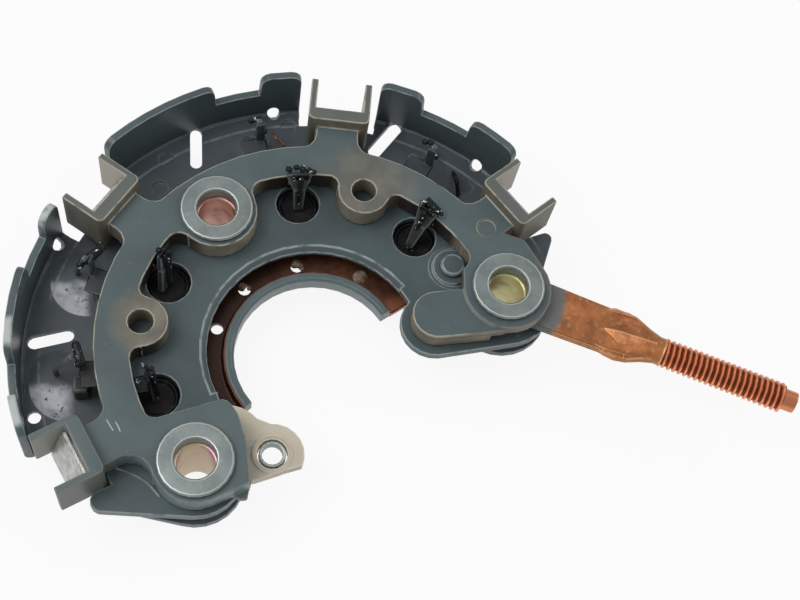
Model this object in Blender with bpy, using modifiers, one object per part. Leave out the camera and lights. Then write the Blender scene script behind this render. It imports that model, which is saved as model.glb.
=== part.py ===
"""Alternator rectifier: two copper heat sinks and a moulded terminal plate on three bushings.

Metres, +Z up. The shapes are drawn round the shaft's axis. Each piece is then moved so that the origin
lies under the middle of the part, in the plane that the bushing sleeves stand on.
+X runs along the terminal bolt. Angles are in degrees, counter-clockwise from +X.
"""
import math

import bmesh
import bpy
from mathutils import Matrix, Vector
from mathutils.geometry import delaunay_2d_cdt


def polar(radius, angle):
    return (radius * math.cos(math.radians(angle)), radius * math.sin(math.radians(angle)))


def beside(place, across, up):
    return (place[0] + across, place[1] + up)


# Gap between pieces that touch
CLEARANCE = 0.0003

# The stack, from the bottom up
SLEEVE_FOOT_HEIGHT = 0.0061
NEG_THICKNESS = 0.0016
SPACER_THICKNESS = 0.0024
POS_THICKNESS = 0.0020
PLATE_THICKNESS = 0.0050
WASHER_THICKNESS = 0.0009

NEG_BOTTOM = SLEEVE_FOOT_HEIGHT + CLEARANCE
NEG_TOP = NEG_BOTTOM + NEG_THICKNESS
SPACER_BOTTOM = NEG_TOP + CLEARANCE
SPACER_TOP = SPACER_BOTTOM + SPACER_THICKNESS
POS_BOTTOM = SPACER_TOP + CLEARANCE
POS_TOP = POS_BOTTOM + POS_THICKNESS
PLATE_BOTTOM = POS_TOP + CLEARANCE
PLATE_TOP = PLATE_BOTTOM + PLATE_THICKNESS
WASHER_BOTTOM = PLATE_TOP + CLEARANCE

# The circles of the horseshoe, each a step out from the one before
COLLAR_INNER = 0.0161
COLLAR_WIDTH = 0.0021
COLLAR_TO_POSITIVE = 0.0032
POS_INNER_TO_DIODES = 0.0108
DIODES_TO_PLATE = 0.0038
PLATE_WIDTH = 0.0068
POS_UNDERCUT = 0.0013
NECK_LENGTH = 0.0045
PLATE_TO_NEG_DIODES = 0.0077
NEG_DIODES_TO_WALL = 0.0085

COLLAR_OUTER = COLLAR_INNER + COLLAR_WIDTH
POS_INNER = COLLAR_OUTER + COLLAR_TO_POSITIVE
POS_DIODE_CIRCLE = POS_INNER + POS_INNER_TO_DIODES
PLATE_INNER = POS_DIODE_CIRCLE + DIODES_TO_PLATE
PLATE_OUTER = PLATE_INNER + PLATE_WIDTH
POS_OUTER = PLATE_OUTER - POS_UNDERCUT
FORK_BACK = PLATE_OUTER + NECK_LENGTH
NEG_DIODE_CIRCLE = PLATE_OUTER + PLATE_TO_NEG_DIODES
WALL_RADIUS = NEG_DIODE_CIRCLE + NEG_DIODES_TO_WALL

# Bushings
BUSHING_OFFSET = 0.00165
RIGHT_BUSHING_INSET = 0.0030
BUSHING_LEFT = polar(POS_DIODE_CIRCLE + BUSHING_OFFSET, 249.64)
BUSHING_MIDDLE = polar(POS_DIODE_CIRCLE + BUSHING_OFFSET, 148.19)
BUSHING_RIGHT = polar(PLATE_OUTER - RIGHT_BUSHING_INSET, 38.88)
BUSHINGS = (BUSHING_LEFT, BUSHING_MIDDLE, BUSHING_RIGHT)
SLEEVE_BORE = 0.0036
SLEEVE_WALL = 0.0012
SLEEVE_FOOT_RADIUS = 0.0060
WASHER_RADIUS = 0.0073
WASHER_BORE = 0.00395
WASHER_NECK_WALL = 0.00125
WASHER_NECK_DEPTH = 0.0018
BUSH_WALL = 0.0008
BUSH_FLANGE_RADIUS = 0.0085

SLEEVE_RADIUS = SLEEVE_BORE + SLEEVE_WALL
SLEEVE_HOLE = SLEEVE_RADIUS + CLEARANCE
SLEEVE_TOP = PLATE_TOP - WASHER_NECK_DEPTH - CLEARANCE
WASHER_NECK_RADIUS = WASHER_BORE + WASHER_NECK_WALL
BUSH_NECK_RADIUS = SLEEVE_HOLE + BUSH_WALL

# Negative heat sink. An inset runs inward from the wall; a rise runs up from the sink's underside.
WALL_BEND = 0.0022
WALL_RISE = 0.0147
LOW_WALL_RISE = 0.0089
TAB_CORNER = 0.0022
TAB_STEP = 0.25
FLOOR_START = 54.5
FLOOR_END = 242.0
FLOOR_INSET = 0.0052
LAST_GUIDE_ANGLE = 223.2
LAST_GUIDE_INSET = 0.0107
COLLAR_RISE = 0.0037
NEG_EAR_LEFT = 0.0095
NEG_EAR_RIGHT = 0.0100
WALL_STRETCHES = (
    ((67.1, 78.2), (89.2, 98.4)),
    ((115.0, 123.4), (133.3, 158.6)),
    ((174.5, 179.8), (188.9, 206.9), (214.8, 223.2)),
)
DRAIN_RADIUS = 0.0013
DRAIN_OFFSET = 0.0022
DRAIN_ANGLES = (84.2, 122.0, 155.9, 184.8)
FOLD_HOLE_RADIUS = 0.00135
# Angle, how far inside the bend's centre, and lean from upright
FOLD_HOLES = ((74.2, 0.0, 42), (120.6, 0.0, 45), (177.3, 0.0, 35), (215.7, 0.0013, 0))
# Inset and angle of both ends, and radius
SLOTS = (
    ((0.0092, 96.6), (0.0024, 93.8), 0.00150),
    ((0.0088, 141.4), (0.0022, 138.0), 0.00125),
    ((0.0100, 197.3), (0.0040, 199.5), 0.00145),
)
DIMPLE_RADIUS = 0.00165
DIMPLE_DEPTH = 0.0004
DIMPLES = ((0.0048, 146.8), (0.0097, 152.4), (0.0052, 117.7), (0.0073, 72.9))
# Rounded shapes, as (across, up, radius) of each corner from a bushing
FLOOR_SHOULDER = ((0.0, 0.0, 0.0100), (-0.0053, 0.0056, 0.0060), (-0.0058, 0.0123, 0.0030))
FLOOR_TAB = ((0.0040, 0.0193, 0.0014), (0.0004, 0.0172, 0.0006), (0.0054, 0.0080, 0.0006),
             (-0.0030, 0.0080, 0.0006))
FLOOR_RIBBON = ((0.0, 0.0, 0.0095), (-0.0100, -0.0076, 0.0030), (-0.0067, -0.0085, 0.0022))

FLOOR_EDGE = WALL_RADIUS - FLOOR_INSET
FOLD_TOP = NEG_BOTTOM + WALL_BEND

# Positive heat sink
POS_START = 50.0
POS_END = 236.0
POS_LIP = 0.0013
POS_LIP_DEPTH = 0.0011
POS_LIP_START = 60.0
POS_CURL_ANGLE = 228.0
POS_CURL_RADIUS = 0.0056
POS_EAR_LEFT = 0.0093
POS_EAR_RIGHT = 0.0102
POS_WING = ((-0.0135, -0.0121, 0.0022), (-0.0122, -0.0043, 0.0022))
POS_SHOULDER_ANGLE = 52.0
POS_SHOULDER_ROUND = 0.0040
POS_END_WIDTH = 0.0080
FOOT_END = beside(BUSHING_RIGHT, -0.0111, -0.0108)
POS_FOOT_RADIUS = 0.0069
RIVET_PLACE = beside(BUSHING_RIGHT, -0.0120, 0.0022)
RIVET_HEAD_RADIUS = 0.00255
RIVET_HEAD_HEIGHT = 0.0010
RIVET_SHANK_RADIUS = 0.0014
RIVET_TAIL_RADIUS = 0.0022
RIVET_TAIL_HEIGHT = 0.0008
RIVET_SEAT_RADIUS = 0.0040
RIVET_SEAT_HEIGHT = 0.0006

# Diodes
POS_DIODE_ANGLES = (118.4, 72.9, 176.9, 220.6)
POS_DIODE_BODY = 0.0041
POS_DIODE_FLANGE = 0.0049
POS_DIODE_DROP = 0.0021
POS_DIODE_RISE = 0.0007
POS_DIODE_RECESS = 0.0006
NEG_DIODE_ANGLES = (182.1, 207.0, 125.9, 84.3)
NEG_DIODE_BODY = 0.0038
NEG_DIODE_RISE = 0.0009
NEG_DIODE_RECESS = 0.0005
DIODE_RIM = 0.0007

# Leads and the hooks that they are soldered to. A hook's place is its angle and its offset from the
# plate's inner or outer edge.
LEAD_RADIUS = 0.00055
LEAD_BEND = 0.06
LEAD_END = 0.15
HOOK_THICKNESS = 0.0006
HOOK_LEVEL = 0.0020
POS_HOOKS = ((117.4, 0.0010), (73.2, 0.0004), (172.1, 0.0012), (217.5, 0.0022))
POS_HOOK_WIDTH = 0.0034
POS_HOOK_ROOT = 0.0040
POS_HOOK_RISE = 0.0022
NEG_HOOKS = ((184.0, 0.0029), (209.3, 0.0022), (126.2, 0.0036), (81.9, 0.0038))
NEG_HOOK_WIDTH = 0.0019
NEG_HOOK_TAB = 0.0052
NEG_HOOK_ROOT = 0.0018
NEG_HOOK_RISE = 0.0035

# Terminal plate
PLATE_START = 42.0
PLATE_END = 245.0
EAR_MARGIN = 0.0008
EAR_FILLET = 0.0025
COLLAR_RADIUS = 0.0089
FOOT_DROP = 0.0005
FOOT_RADIUS = 0.0050
FOOT_BAR_LENGTH = 0.0120
FOOT_BAR_ANGLE = 28.9
EYELET_POCKET = 0.0102
SMALL_HOLE_RADIUS = 0.0025
SMALL_HOLE_LOBE = 0.0053
SMALL_HOLE_FILLET = 0.0020
SMALL_HOLE_INSET = 0.0019
SMALL_HOLE_ANGLES = (197.2, 95.6)
RECESS_RADIUS = 0.0044
RECESS_OFFSET = 0.0023
RECESS_ANGLE = 241.2
LEFT_END = ((-0.0087, 0.0033, 0.0022), (0.0005, 0.0111, 0.0021), (0.0024, 0.0097, 0.0022),
            (0.0051, 0.0055, 0.0027), (0.0099, 0.0002, 0.0009))
LEFT_TAB = ((0.0060, 0.0015, 0.0003), (0.0060, -0.0020, 0.0003), (0.0100, -0.0025, 0.0003),
            (0.0110, -0.0020, 0.0003), (0.0103, 0.0010, 0.0003))
LEFT_TAB_THICKNESS = 0.0012
RIGHT_SHOULDER = ((-0.0007, 0.0099, 0.0016), (-0.0089, 0.0078, 0.0033))
NECK_HALF_WIDTH = 0.00435
NECK_FILLET = 0.0036

# Lead guides, the four U-shaped forks
FORK_ANGLES = (230.2, 166.8, 106.6, 59.65)
FORK_BACK_WALL = 0.0028
FORK_LENGTH = 0.0096
FORK_LEG = 0.0014
FORK_GAP = 0.0098
FORK_CORNER = 0.0012
FORK_DROP = 0.0028
FORK_RISE = 0.0030
TERMINAL_THICKNESS = 0.0008
TERMINAL_MARGIN = 0.0005
TERMINAL_SPREAD = 0.0030
TERMINAL_TOP_INSET = 0.0020

FORK_BOTTOM = PLATE_BOTTOM - FORK_DROP
FORK_TOP = PLATE_TOP + FORK_RISE

# Terminal bolt, each station a step out from the one before
BOLT_OFFSET = 0.0008
EYELET_RADIUS = 0.0076
PADDLE_THICKNESS = 0.0020
PADDLE_ROOT_WIDTH = 0.0104
PADDLE_END_WIDTH = 0.0097
PADDLE_LENGTH = 0.0215
FLARE_LENGTH = 0.0110
# Distance from the paddle's end, width, height and squareness
FLARE_STATIONS = (
    (0.0013, 0.0103, 0.0021, 8),
    (0.0033, 0.0109, 0.0028, 4),
    (0.0057, 0.0101, 0.0040, 2.4),
    (0.0086, 0.0073, 0.0053, 2),
)
SHANK_RADIUS = 0.0028
SHANK_LENGTH = 0.0012
THREAD_RADIUS = 0.0030
THREAD_LENGTH = 0.0255
DOG_RADIUS = 0.00215
DOG_LENGTH = 0.0028
PADDLE_SQUARENESS = 10
ROUND = 2

PADDLE_END = BUSHING_RIGHT[0] + PADDLE_LENGTH
SHANK_START = PADDLE_END + FLARE_LENGTH
THREAD_START = SHANK_START + SHANK_LENGTH
THREAD_END = THREAD_START + THREAD_LENGTH
DOG_END = THREAD_END + DOG_LENGTH

# Lug with its insert
LUG_PLACE = beside(BUSHING_LEFT, 0.0119, 0.0090)
LUG_RADIUS = 0.0062
LUG_FLAT = 0.0047
LUG_FLAT_ANGLE = -55.8
LUG_BRIDGE_PLACE = beside(BUSHING_LEFT, 0.0028, 0.0077)
LUG_BRIDGE_RADIUS = 0.0078
# Corners from the lug's middle
LUG_WEB = ((-0.0091, -0.0013, 0.0005), (-0.0016, -0.0060, 0.0005), (0.0, 0.0, 0.0040),
           (-0.0021, 0.0050, 0.0006), (-0.0079, 0.0048, 0.0008))
INSERT_RADIUS = 0.00266
INSERT_BORE = 0.00205

# Shapes that are joined stay this far out of each other's planes
LAP = 0.00005

# How closely arcs are divided
ARC_ERROR = 0.00007
WALL_ARC_STEP = 5.0
WELD = 0.0000005

NEG_COPPER = ("negative_heat_sink_paint", (0.115, 0.135, 0.138), 0.42, 0.0)
POS_COPPER = ("positive_heat_sink_paint", (0.105, 0.125, 0.132), 0.38, 0.0)
MOULDING = ("terminal_plate_moulding", (0.40, 0.37, 0.29), 0.55, 0.0)
PALE_MOULDING = ("lug_moulding", (0.58, 0.50, 0.38), 0.55, 0.0)
WASHER_STEEL = ("washer_steel", (0.30, 0.34, 0.33), 0.35, 0.9)
SLEEVE_STEEL = ("passivated_steel", (0.55, 0.48, 0.25), 0.30, 0.9)
COPPER = ("bare_copper", (0.55, 0.22, 0.10), 0.35, 1.0)
TINNED = ("tinned_strip", (0.55, 0.56, 0.55), 0.30, 1.0)
RESIN = ("diode_resin", (0.02, 0.02, 0.022), 0.35, 0.0)
VARNISH = ("varnished_wire", (0.03, 0.03, 0.035), 0.25, 0.2)


def clear_scene():
    for obj in list(bpy.data.objects):
        bpy.data.objects.remove(obj, do_unlink=True)


def new_collection(name):
    collection = bpy.data.collections.new(name)
    bpy.context.scene.collection.children.link(collection)
    return collection


def material(finish):
    name, color, roughness, metallic = finish
    found = bpy.data.materials.get(name)
    if found:
        return found
    made = bpy.data.materials.new(name)
    made.use_nodes = True
    shader = made.node_tree.nodes["Principled BSDF"]
    shader.inputs["Base Color"].default_value = (*color, 1.0)
    shader.inputs["Roughness"].default_value = roughness
    shader.inputs["Metallic"].default_value = metallic
    made.diffuse_color = (*color, 1.0)
    return made


def shifted(point, length, angle):
    step = polar(length, angle)
    return (point[0] + step[0], point[1] + step[1])


def arc(centre, radius, start, end):
    """Points on an arc, as far apart as ARC_ERROR allows."""
    turn = math.degrees(2 * math.acos(1 - ARC_ERROR / radius))
    count = max(2, math.ceil(abs(end - start) / turn))
    return [shifted(centre, radius, start + (end - start) * i / count) for i in range(count + 1)]


def disc(centre, radius):
    return arc(centre, radius, 0, 360)[:-1]


def sector(start, end, inner, outer):
    """Part of a flat ring round the origin."""
    return arc((0, 0), outer, start, end) + arc((0, 0), inner, end, start)


def hull(*shapes):
    """The convex outline round some shapes."""
    points = sorted({(round(x, 9), round(y, 9)) for shape in shapes for x, y in shape})

    def half(ordered):
        side = []
        for x, y in ordered:
            while len(side) > 1:
                (ax, ay), (bx, by) = side[-2:]
                if (bx - ax) * (y - ay) - (by - ay) * (x - ax) > 0:
                    break
                side.pop()
            side.append((x, y))
        return side[:-1]

    return half(points) + half(points[::-1])


def oblong(first, last, radius):
    return hull(disc(first, radius), disc(last, radius))


def rounded(place, corners):
    """A convex shape with round corners, each (across, up, radius) from a place."""
    return hull(*[disc(beside(place, across, up), radius) for across, up, radius in corners])


def bar(inner, outer, low, high):
    """A rectangle drawn along +X."""
    return [(inner, low), (outer, low), (outer, high), (inner, high)]


def turned_shape(shape, angle):
    """A flat shape drawn along +X, turned round the origin."""
    c, s = polar(1, angle)
    return [(x * c - y * s, x * s + y * c) for x, y in shape]


def outline(add, cut=()):
    """The loops round the union of some flat shapes, less the shapes that are cut from it."""
    points = []
    faces = []
    for shape in (*add, *cut):
        faces.append(list(range(len(points), len(points) + len(shape))))
        points += [Vector(p) for p in shape]
    corners, _, triangles, _, _, sources = delaunay_2d_cdt(points, [], faces, 1, WELD)
    edges = set()
    for triangle, inside in zip(triangles, sources):
        if inside and max(inside) < len(add):
            edges |= {(triangle[i - 1], triangle[i]) for i in range(len(triangle))}
    following = {}
    for a, b in edges:
        if (b, a) not in edges:
            following.setdefault(a, []).append(b)
    loops = []
    while following:
        start = min(following)
        loop = [start]
        while True:
            exits = following[loop[-1]]
            step = exits.pop()
            if not exits:
                del following[loop[-1]]
            if step == start:
                break
            loop.append(step)
        loops.append(tidied([tuple(corners[i]) for i in loop]))
    return [loop for loop in loops if len(loop) > 2]


def tidied(loop):
    """A loop without points that crowd another one or lie on a straight run."""
    kept = []
    for i, point in enumerate(loop):
        before = kept[-1] if kept else loop[-1]
        after = loop[(i + 1) % len(loop)]
        ax, ay = point[0] - before[0], point[1] - before[1]
        bx, by = after[0] - before[0], after[1] - before[1]
        length = math.hypot(bx, by)
        if math.hypot(ax, ay) < ARC_ERROR / 4:
            continue
        if length > 0 and abs(ax * by - ay * bx) / length < ARC_ERROR / 40:
            continue
        kept.append(point)
    return kept


def slab(name, loops, bottom, top):
    """A flat plate with upright sides, as a filled curve made into a mesh."""
    curve = bpy.data.curves.new(name, "CURVE")
    curve.dimensions = "2D"
    curve.fill_mode = "BOTH"
    curve.extrude = (top - bottom) / 2
    for loop in loops:
        spline = curve.splines.new("POLY")
        spline.points.add(len(loop) - 1)
        spline.use_cyclic_u = True
        for spot, (x, y) in zip(spline.points, loop):
            spot.co = (x, y, 0, 1)
    return curve_to_mesh(name, curve, Matrix.Translation((0, 0, (top + bottom) / 2)))


def curve_to_mesh(name, curve, place=Matrix()):
    source = bpy.data.objects.new(name + "_curve", curve)
    bpy.context.scene.collection.objects.link(source)
    source.matrix_world = place
    bpy.context.view_layer.update()
    graph = bpy.context.evaluated_depsgraph_get()
    mesh = bpy.data.meshes.new_from_object(source.evaluated_get(graph))
    mesh.name = name
    bm = bmesh.new()
    bm.from_mesh(mesh)
    bmesh.ops.remove_doubles(bm, verts=bm.verts, dist=WELD)
    bmesh.ops.recalc_face_normals(bm, faces=bm.faces)
    bm.to_mesh(mesh)
    bm.free()
    obj = bpy.data.objects.new(name, mesh)
    obj.matrix_world = source.matrix_world
    bpy.data.objects.remove(source)
    bpy.data.curves.remove(curve)
    return obj


def from_bmesh(name, bm):
    mesh = bpy.data.meshes.new(name)
    bm.to_mesh(mesh)
    bm.free()
    return bpy.data.objects.new(name, mesh)


def loft(name, sections):
    """A closed solid through rings of points, all with as many points, with flat ends."""
    bm = bmesh.new()
    rings = [[bm.verts.new(point) for point in section] for section in sections]
    for near, far in zip(rings, rings[1:]):
        for i in range(len(near)):
            bm.faces.new((near[i - 1], near[i], far[i], far[i - 1]))
    bm.faces.new(rings[0])
    bm.faces.new(rings[-1][::-1])
    bmesh.ops.recalc_face_normals(bm, faces=bm.faces)
    return from_bmesh(name, bm)


def strip(name, sections):
    """A solid swept round the origin: an angle and a section of (radius, height) at each stop."""
    return loft(name, [[(*polar(r, angle), z) for r, z in section] for angle, section in sections])


def spaced(start, end, step):
    """Angles between two others, without the two, at most a step apart."""
    count = max(1, math.ceil((end - start) / step))
    return [start + (end - start) * i / count for i in range(1, count)]


def turned(name, profile, centre, closed=False):
    """A solid of revolution: (radius, height) points that run down the outer side."""
    bm = bmesh.new()
    ring = [bm.verts.new((r, 0, z)) for r, z in profile]
    for a, b in zip(ring, ring[1:]):
        bm.edges.new((a, b))
    if closed:
        bm.edges.new((ring[-1], ring[0]))
    obj = from_bmesh(name, bm)
    obj.location = (*centre, 0)
    screw = obj.modifiers.new("turn", "SCREW")
    steps = 4 * math.ceil(90 / math.degrees(2 * math.acos(1 - ARC_ERROR / max(r for r, _ in profile))))
    screw.steps = steps
    screw.render_steps = steps
    screw.use_merge_vertices = True
    screw.merge_threshold = WELD * 10
    return obj


def cylinder(name, centre, radius, bottom, top):
    bm = bmesh.new()
    sides = len(disc(centre, radius))
    bmesh.ops.create_cone(bm, cap_ends=True, segments=sides, radius1=radius, radius2=radius,
                          depth=top - bottom)
    obj = from_bmesh(name, bm)
    obj.location = (*centre, (top + bottom) / 2)
    return obj


class Model:
    """The two collections: the object's own pieces, and what cuts or joins them."""

    def __init__(self, axis):
        self.pieces = new_collection("alternator_rectifier")
        self.tools = new_collection("cutters")
        self.place = Matrix.Translation((*axis, 0))

    def keep(self, obj, finish):
        obj.matrix_basis = self.place @ obj.matrix_basis
        self.pieces.objects.link(obj)
        obj.data.materials.clear()
        obj.data.materials.append(material(finish))
        obj.data.shade_smooth()
        obj.data.set_sharp_from_angle(angle=math.radians(35))
        return obj

    def apply(self, target, operation, parts, solver):
        for part in parts:
            part.matrix_basis = self.place @ part.matrix_basis
            self.tools.objects.link(part)
            part.hide_render = True
            part.display_type = "WIRE"
            modifier = target.modifiers.new(part.name, "BOOLEAN")
            modifier.operation = operation
            modifier.object = part
            modifier.solver = solver

    def join(self, target, *parts, solver="EXACT"):
        self.apply(target, "UNION", parts, solver)

    def cut(self, target, *parts, solver="EXACT"):
        self.apply(target, "DIFFERENCE", parts, solver)


def wall_stops(tabs):
    """(angle, top height) along one stretch of wall: high tabs with round corners, low between."""
    high = NEG_BOTTOM + WALL_RISE
    low = NEG_BOTTOM + LOW_WALL_RISE
    turn = math.degrees(TAB_CORNER / WALL_RADIUS)
    rounds = [polar(1, a) for a in (0, 30, 60, 90)]
    corner = [(turn * (1 - c), high - TAB_CORNER * (1 - s)) for c, s in rounds]
    stops = []
    for first, last in tabs:
        if stops:
            low_start = stops[-1][0] + TAB_STEP
            low_end = first - TAB_STEP
            stops.append((low_start, low))
            stops += [(a, low) for a in spaced(low_start, low_end, WALL_ARC_STEP)]
            stops.append((low_end, low))
        stops += [(first + across, height) for across, height in corner]
        stops += [(a, high) for a in spaced(first + turn, last - turn, WALL_ARC_STEP)]
        stops += [(last - across, height) for across, height in reversed(corner)]
    return stops


def wall_section(top):
    """The bent-up wall: down the outside, round the bend and up the inside."""
    centre = (WALL_RADIUS - WALL_BEND, NEG_BOTTOM + WALL_BEND + LAP)
    foot = centre[0] - NEG_THICKNESS / 2
    outside = [shifted(centre, WALL_BEND, a) for a in (0, -30, -60, -90)]
    tongue = [(foot, NEG_BOTTOM + LAP), (foot, NEG_TOP - LAP), (centre[0], NEG_TOP - LAP)]
    inside = [shifted(centre, WALL_BEND - NEG_THICKNESS, a) for a in (-90, -45, 0)]
    return [(WALL_RADIUS, top), *outside, *tongue, *inside, (WALL_RADIUS - NEG_THICKNESS, top)]


def collar_section():
    """The inner collar: its top edge is rounded on both sides, its foot spreads into the floor."""
    top = NEG_BOTTOM + COLLAR_RISE
    soft = COLLAR_WIDTH / 4
    foot = COLLAR_OUTER + NEG_THICKNESS / 2
    return [(COLLAR_INNER, NEG_BOTTOM + LAP), (COLLAR_INNER, top - soft),
            (COLLAR_INNER + soft, top), (COLLAR_OUTER - soft, top),
            (COLLAR_OUTER, top - soft), (COLLAR_OUTER, NEG_TOP + soft),
            (COLLAR_OUTER + soft, NEG_TOP - LAP), (foot, NEG_TOP - LAP), (foot, NEG_BOTTOM + LAP)]


def negative_floor():
    """The flat floor: it ends short of the wall's circle behind the lead guides."""
    wall_foot = WALL_RADIUS - WALL_BEND + CLEARANCE
    pads = [sector(tabs[0][0] + TAB_STEP, tabs[-1][1] - TAB_STEP, FLOOR_EDGE - NEG_THICKNESS, wall_foot)
            for tabs in WALL_STRETCHES]
    inner = COLLAR_OUTER + CLEARANCE
    add = [sector(FLOOR_START, LAST_GUIDE_ANGLE, inner, FLOOR_EDGE), *pads,
           sector(LAST_GUIDE_ANGLE - 1, FLOOR_END, inner, WALL_RADIUS - LAST_GUIDE_INSET),
           rounded(BUSHING_RIGHT, FLOOR_SHOULDER), rounded(BUSHING_RIGHT, FLOOR_TAB),
           rounded(BUSHING_LEFT, FLOOR_RIBBON)]
    cut = [disc(place, SLEEVE_HOLE) for place in BUSHINGS]
    cut += [disc(polar(NEG_DIODE_CIRCLE, a), NEG_DIODE_BODY + CLEARANCE) for a in NEG_DIODE_ANGLES]
    cut += [disc(polar(COLLAR_OUTER + DRAIN_OFFSET, a), DRAIN_RADIUS) for a in DRAIN_ANGLES]
    return slab("negative_heat_sink", outline(add, cut), NEG_BOTTOM, NEG_TOP)


def fold_hole(name, angle, inset, lean):
    """A cutter through the wall's bend, with its foot leaning outward."""
    hole = cylinder(name, (0, 0), FOLD_HOLE_RADIUS, -2 * WALL_BEND, WALL_BEND)
    start = Matrix.Translation((*polar(WALL_RADIUS - WALL_BEND - inset, angle), FOLD_TOP))
    turn = Matrix.Rotation(math.radians(angle), 4, "Z") @ Matrix.Rotation(math.radians(-lean), 4, "Y")
    hole.matrix_basis = start @ turn @ hole.matrix_basis
    return hole


def wall_slot(name, near, far, radius):
    """A cutter for a long hole that runs out into the wall's bend."""
    ends = [polar(WALL_RADIUS - inset, angle) for inset, angle in (near, far)]
    return slab(name, [oblong(*ends, radius)], NEG_BOTTOM - WALL_BEND, FOLD_TOP)


def make_negative_heat_sink(model):
    floor = model.keep(negative_floor(), NEG_COPPER)
    walls = [strip(f"wall_{i}", [(angle, wall_section(top)) for angle, top in wall_stops(tabs)])
             for i, tabs in enumerate(WALL_STRETCHES, 1)]
    start, end = FLOOR_START + TAB_STEP, FLOOR_END - TAB_STEP
    collar_stops = [start, *spaced(start, end, 2 * WALL_ARC_STEP), end]
    collar = strip("collar", [(angle, collar_section()) for angle in collar_stops])
    model.join(floor, *walls, collar)
    holes = [fold_hole(f"fold_hole_{i}", *place) for i, place in enumerate(FOLD_HOLES, 1)]
    holes += [wall_slot(f"slot_{i}", *ends) for i, ends in enumerate(SLOTS, 1)]
    holes += [cylinder(f"dimple_{i}", polar(WALL_RADIUS - inset, a), DIMPLE_RADIUS, NEG_TOP - DIMPLE_DEPTH,
                       POS_BOTTOM) for i, (inset, a) in enumerate(DIMPLES, 1)]
    model.cut(floor, *holes)


def positive_outline():
    curl = disc(polar(POS_INNER + POS_CURL_RADIUS, POS_CURL_ANGLE), POS_CURL_RADIUS)
    left_ear = disc(BUSHING_LEFT, POS_EAR_LEFT)
    right_ear = disc(BUSHING_RIGHT, POS_EAR_RIGHT)
    corner = disc(polar(POS_OUTER - POS_SHOULDER_ROUND, POS_SHOULDER_ANGLE), POS_SHOULDER_ROUND)
    add = [sector(POS_START, POS_CURL_ANGLE, POS_INNER, POS_OUTER), hull(curl, left_ear),
           hull(rounded(BUSHING_LEFT, POS_WING), left_ear), hull(disc(FOOT_END, POS_FOOT_RADIUS), right_ear),
           hull(right_ear, corner, disc(RIVET_PLACE, RIVET_SEAT_RADIUS)),
           sector(POS_CURL_ANGLE - 1, POS_END, POS_OUTER - POS_END_WIDTH, POS_OUTER)]
    cut = [disc(place, BUSH_NECK_RADIUS + CLEARANCE) for place in BUSHINGS]
    cut += [disc(polar(POS_DIODE_CIRCLE, a), POS_DIODE_BODY + CLEARANCE) for a in POS_DIODE_ANGLES]
    cut += [turned_shape(fork_clearance(), angle) for angle in FORK_ANGLES]
    return outline(add, cut)


def make_positive_heat_sink(model):
    plate = model.keep(slab("positive_heat_sink", positive_outline(), POS_BOTTOM, POS_TOP), POS_COPPER)
    seat_top = POS_TOP + RIVET_SEAT_HEIGHT
    model.join(plate, cylinder("rivet_seat", RIVET_PLACE, RIVET_SEAT_RADIUS, POS_BOTTOM + LAP, seat_top))
    model.cut(plate, cylinder("rivet_hole", RIVET_PLACE, RIVET_SHANK_RADIUS + CLEARANCE, NEG_TOP, PLATE_TOP))
    inside = POS_INNER - POS_LIP
    above = POS_TOP + POS_LIP_DEPTH
    section = [(inside, POS_TOP - POS_LIP_DEPTH), (POS_INNER - CLEARANCE / 2, POS_TOP - POS_LIP_DEPTH),
               (POS_INNER + 2 * POS_LIP, above), (inside, above)]
    stops = [POS_LIP_START, *spaced(POS_LIP_START, POS_CURL_ANGLE, 2 * WALL_ARC_STEP), POS_CURL_ANGLE]
    model.cut(plate, strip("lip_cutter", [(angle, section) for angle in stops]))


def make_diodes(model):
    flange_top = POS_BOTTOM - CLEARANCE
    top = POS_BOTTOM + POS_DIODE_RISE
    resin = top - POS_DIODE_RECESS
    bottom = flange_top - POS_DIODE_DROP
    skirt = POS_DIODE_FLANGE - POS_DIODE_BODY
    for i, angle in enumerate(POS_DIODE_ANGLES, 1):
        inner = POS_DIODE_BODY - DIODE_RIM
        profile = [(0, resin), (inner, resin), (inner, top), (POS_DIODE_BODY, top),
                   (POS_DIODE_BODY, flange_top), (POS_DIODE_FLANGE, flange_top),
                   (POS_DIODE_FLANGE, flange_top - skirt),
                   (POS_DIODE_BODY, bottom), (0, bottom)]
        model.keep(turned(f"positive_diode_{i}", profile, polar(POS_DIODE_CIRCLE, angle)), RESIN)
    neg_top = NEG_TOP + NEG_DIODE_RISE
    neg_resin = neg_top - NEG_DIODE_RECESS
    for i, angle in enumerate(NEG_DIODE_ANGLES, 1):
        inner = NEG_DIODE_BODY - DIODE_RIM
        profile = [(0, neg_resin), (inner, neg_resin), (inner, neg_top), (NEG_DIODE_BODY, neg_top),
                   (NEG_DIODE_BODY, NEG_BOTTOM), (0, NEG_BOTTOM)]
        model.keep(turned(f"negative_diode_{i}", profile, polar(NEG_DIODE_CIRCLE, angle)), RESIN)


def lead(name, foot, head, bend_height):
    """A round wire that stands on its diode, bends and leans to its hook."""
    curve = bpy.data.curves.new(name, "CURVE")
    curve.dimensions = "3D"
    curve.bevel_depth = LEAD_RADIUS
    curve.bevel_resolution = 2
    curve.use_fill_caps = True
    foot, head = Vector(foot), Vector(head)
    knee = Vector((foot.x, foot.y, bend_height))
    lean = head - knee
    below = knee - Vector((0, 0, 2 * LEAD_RADIUS))
    soft = [below, knee + lean * LEAD_BEND, head - lean * LEAD_END, head]
    spline = curve.splines.new("POLY")
    spline.points.add(len(soft))
    for spot, point in zip(spline.points, [foot, *soft]):
        spot.co = (*point, 1)
    return curve_to_mesh(name, curve)


def hook_edges(stand, side):
    """Where a hook's finger starts and ends along the radius. It stands outside or inside its root."""
    return sorted((stand, stand + side * HOOK_THICKNESS))


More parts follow.
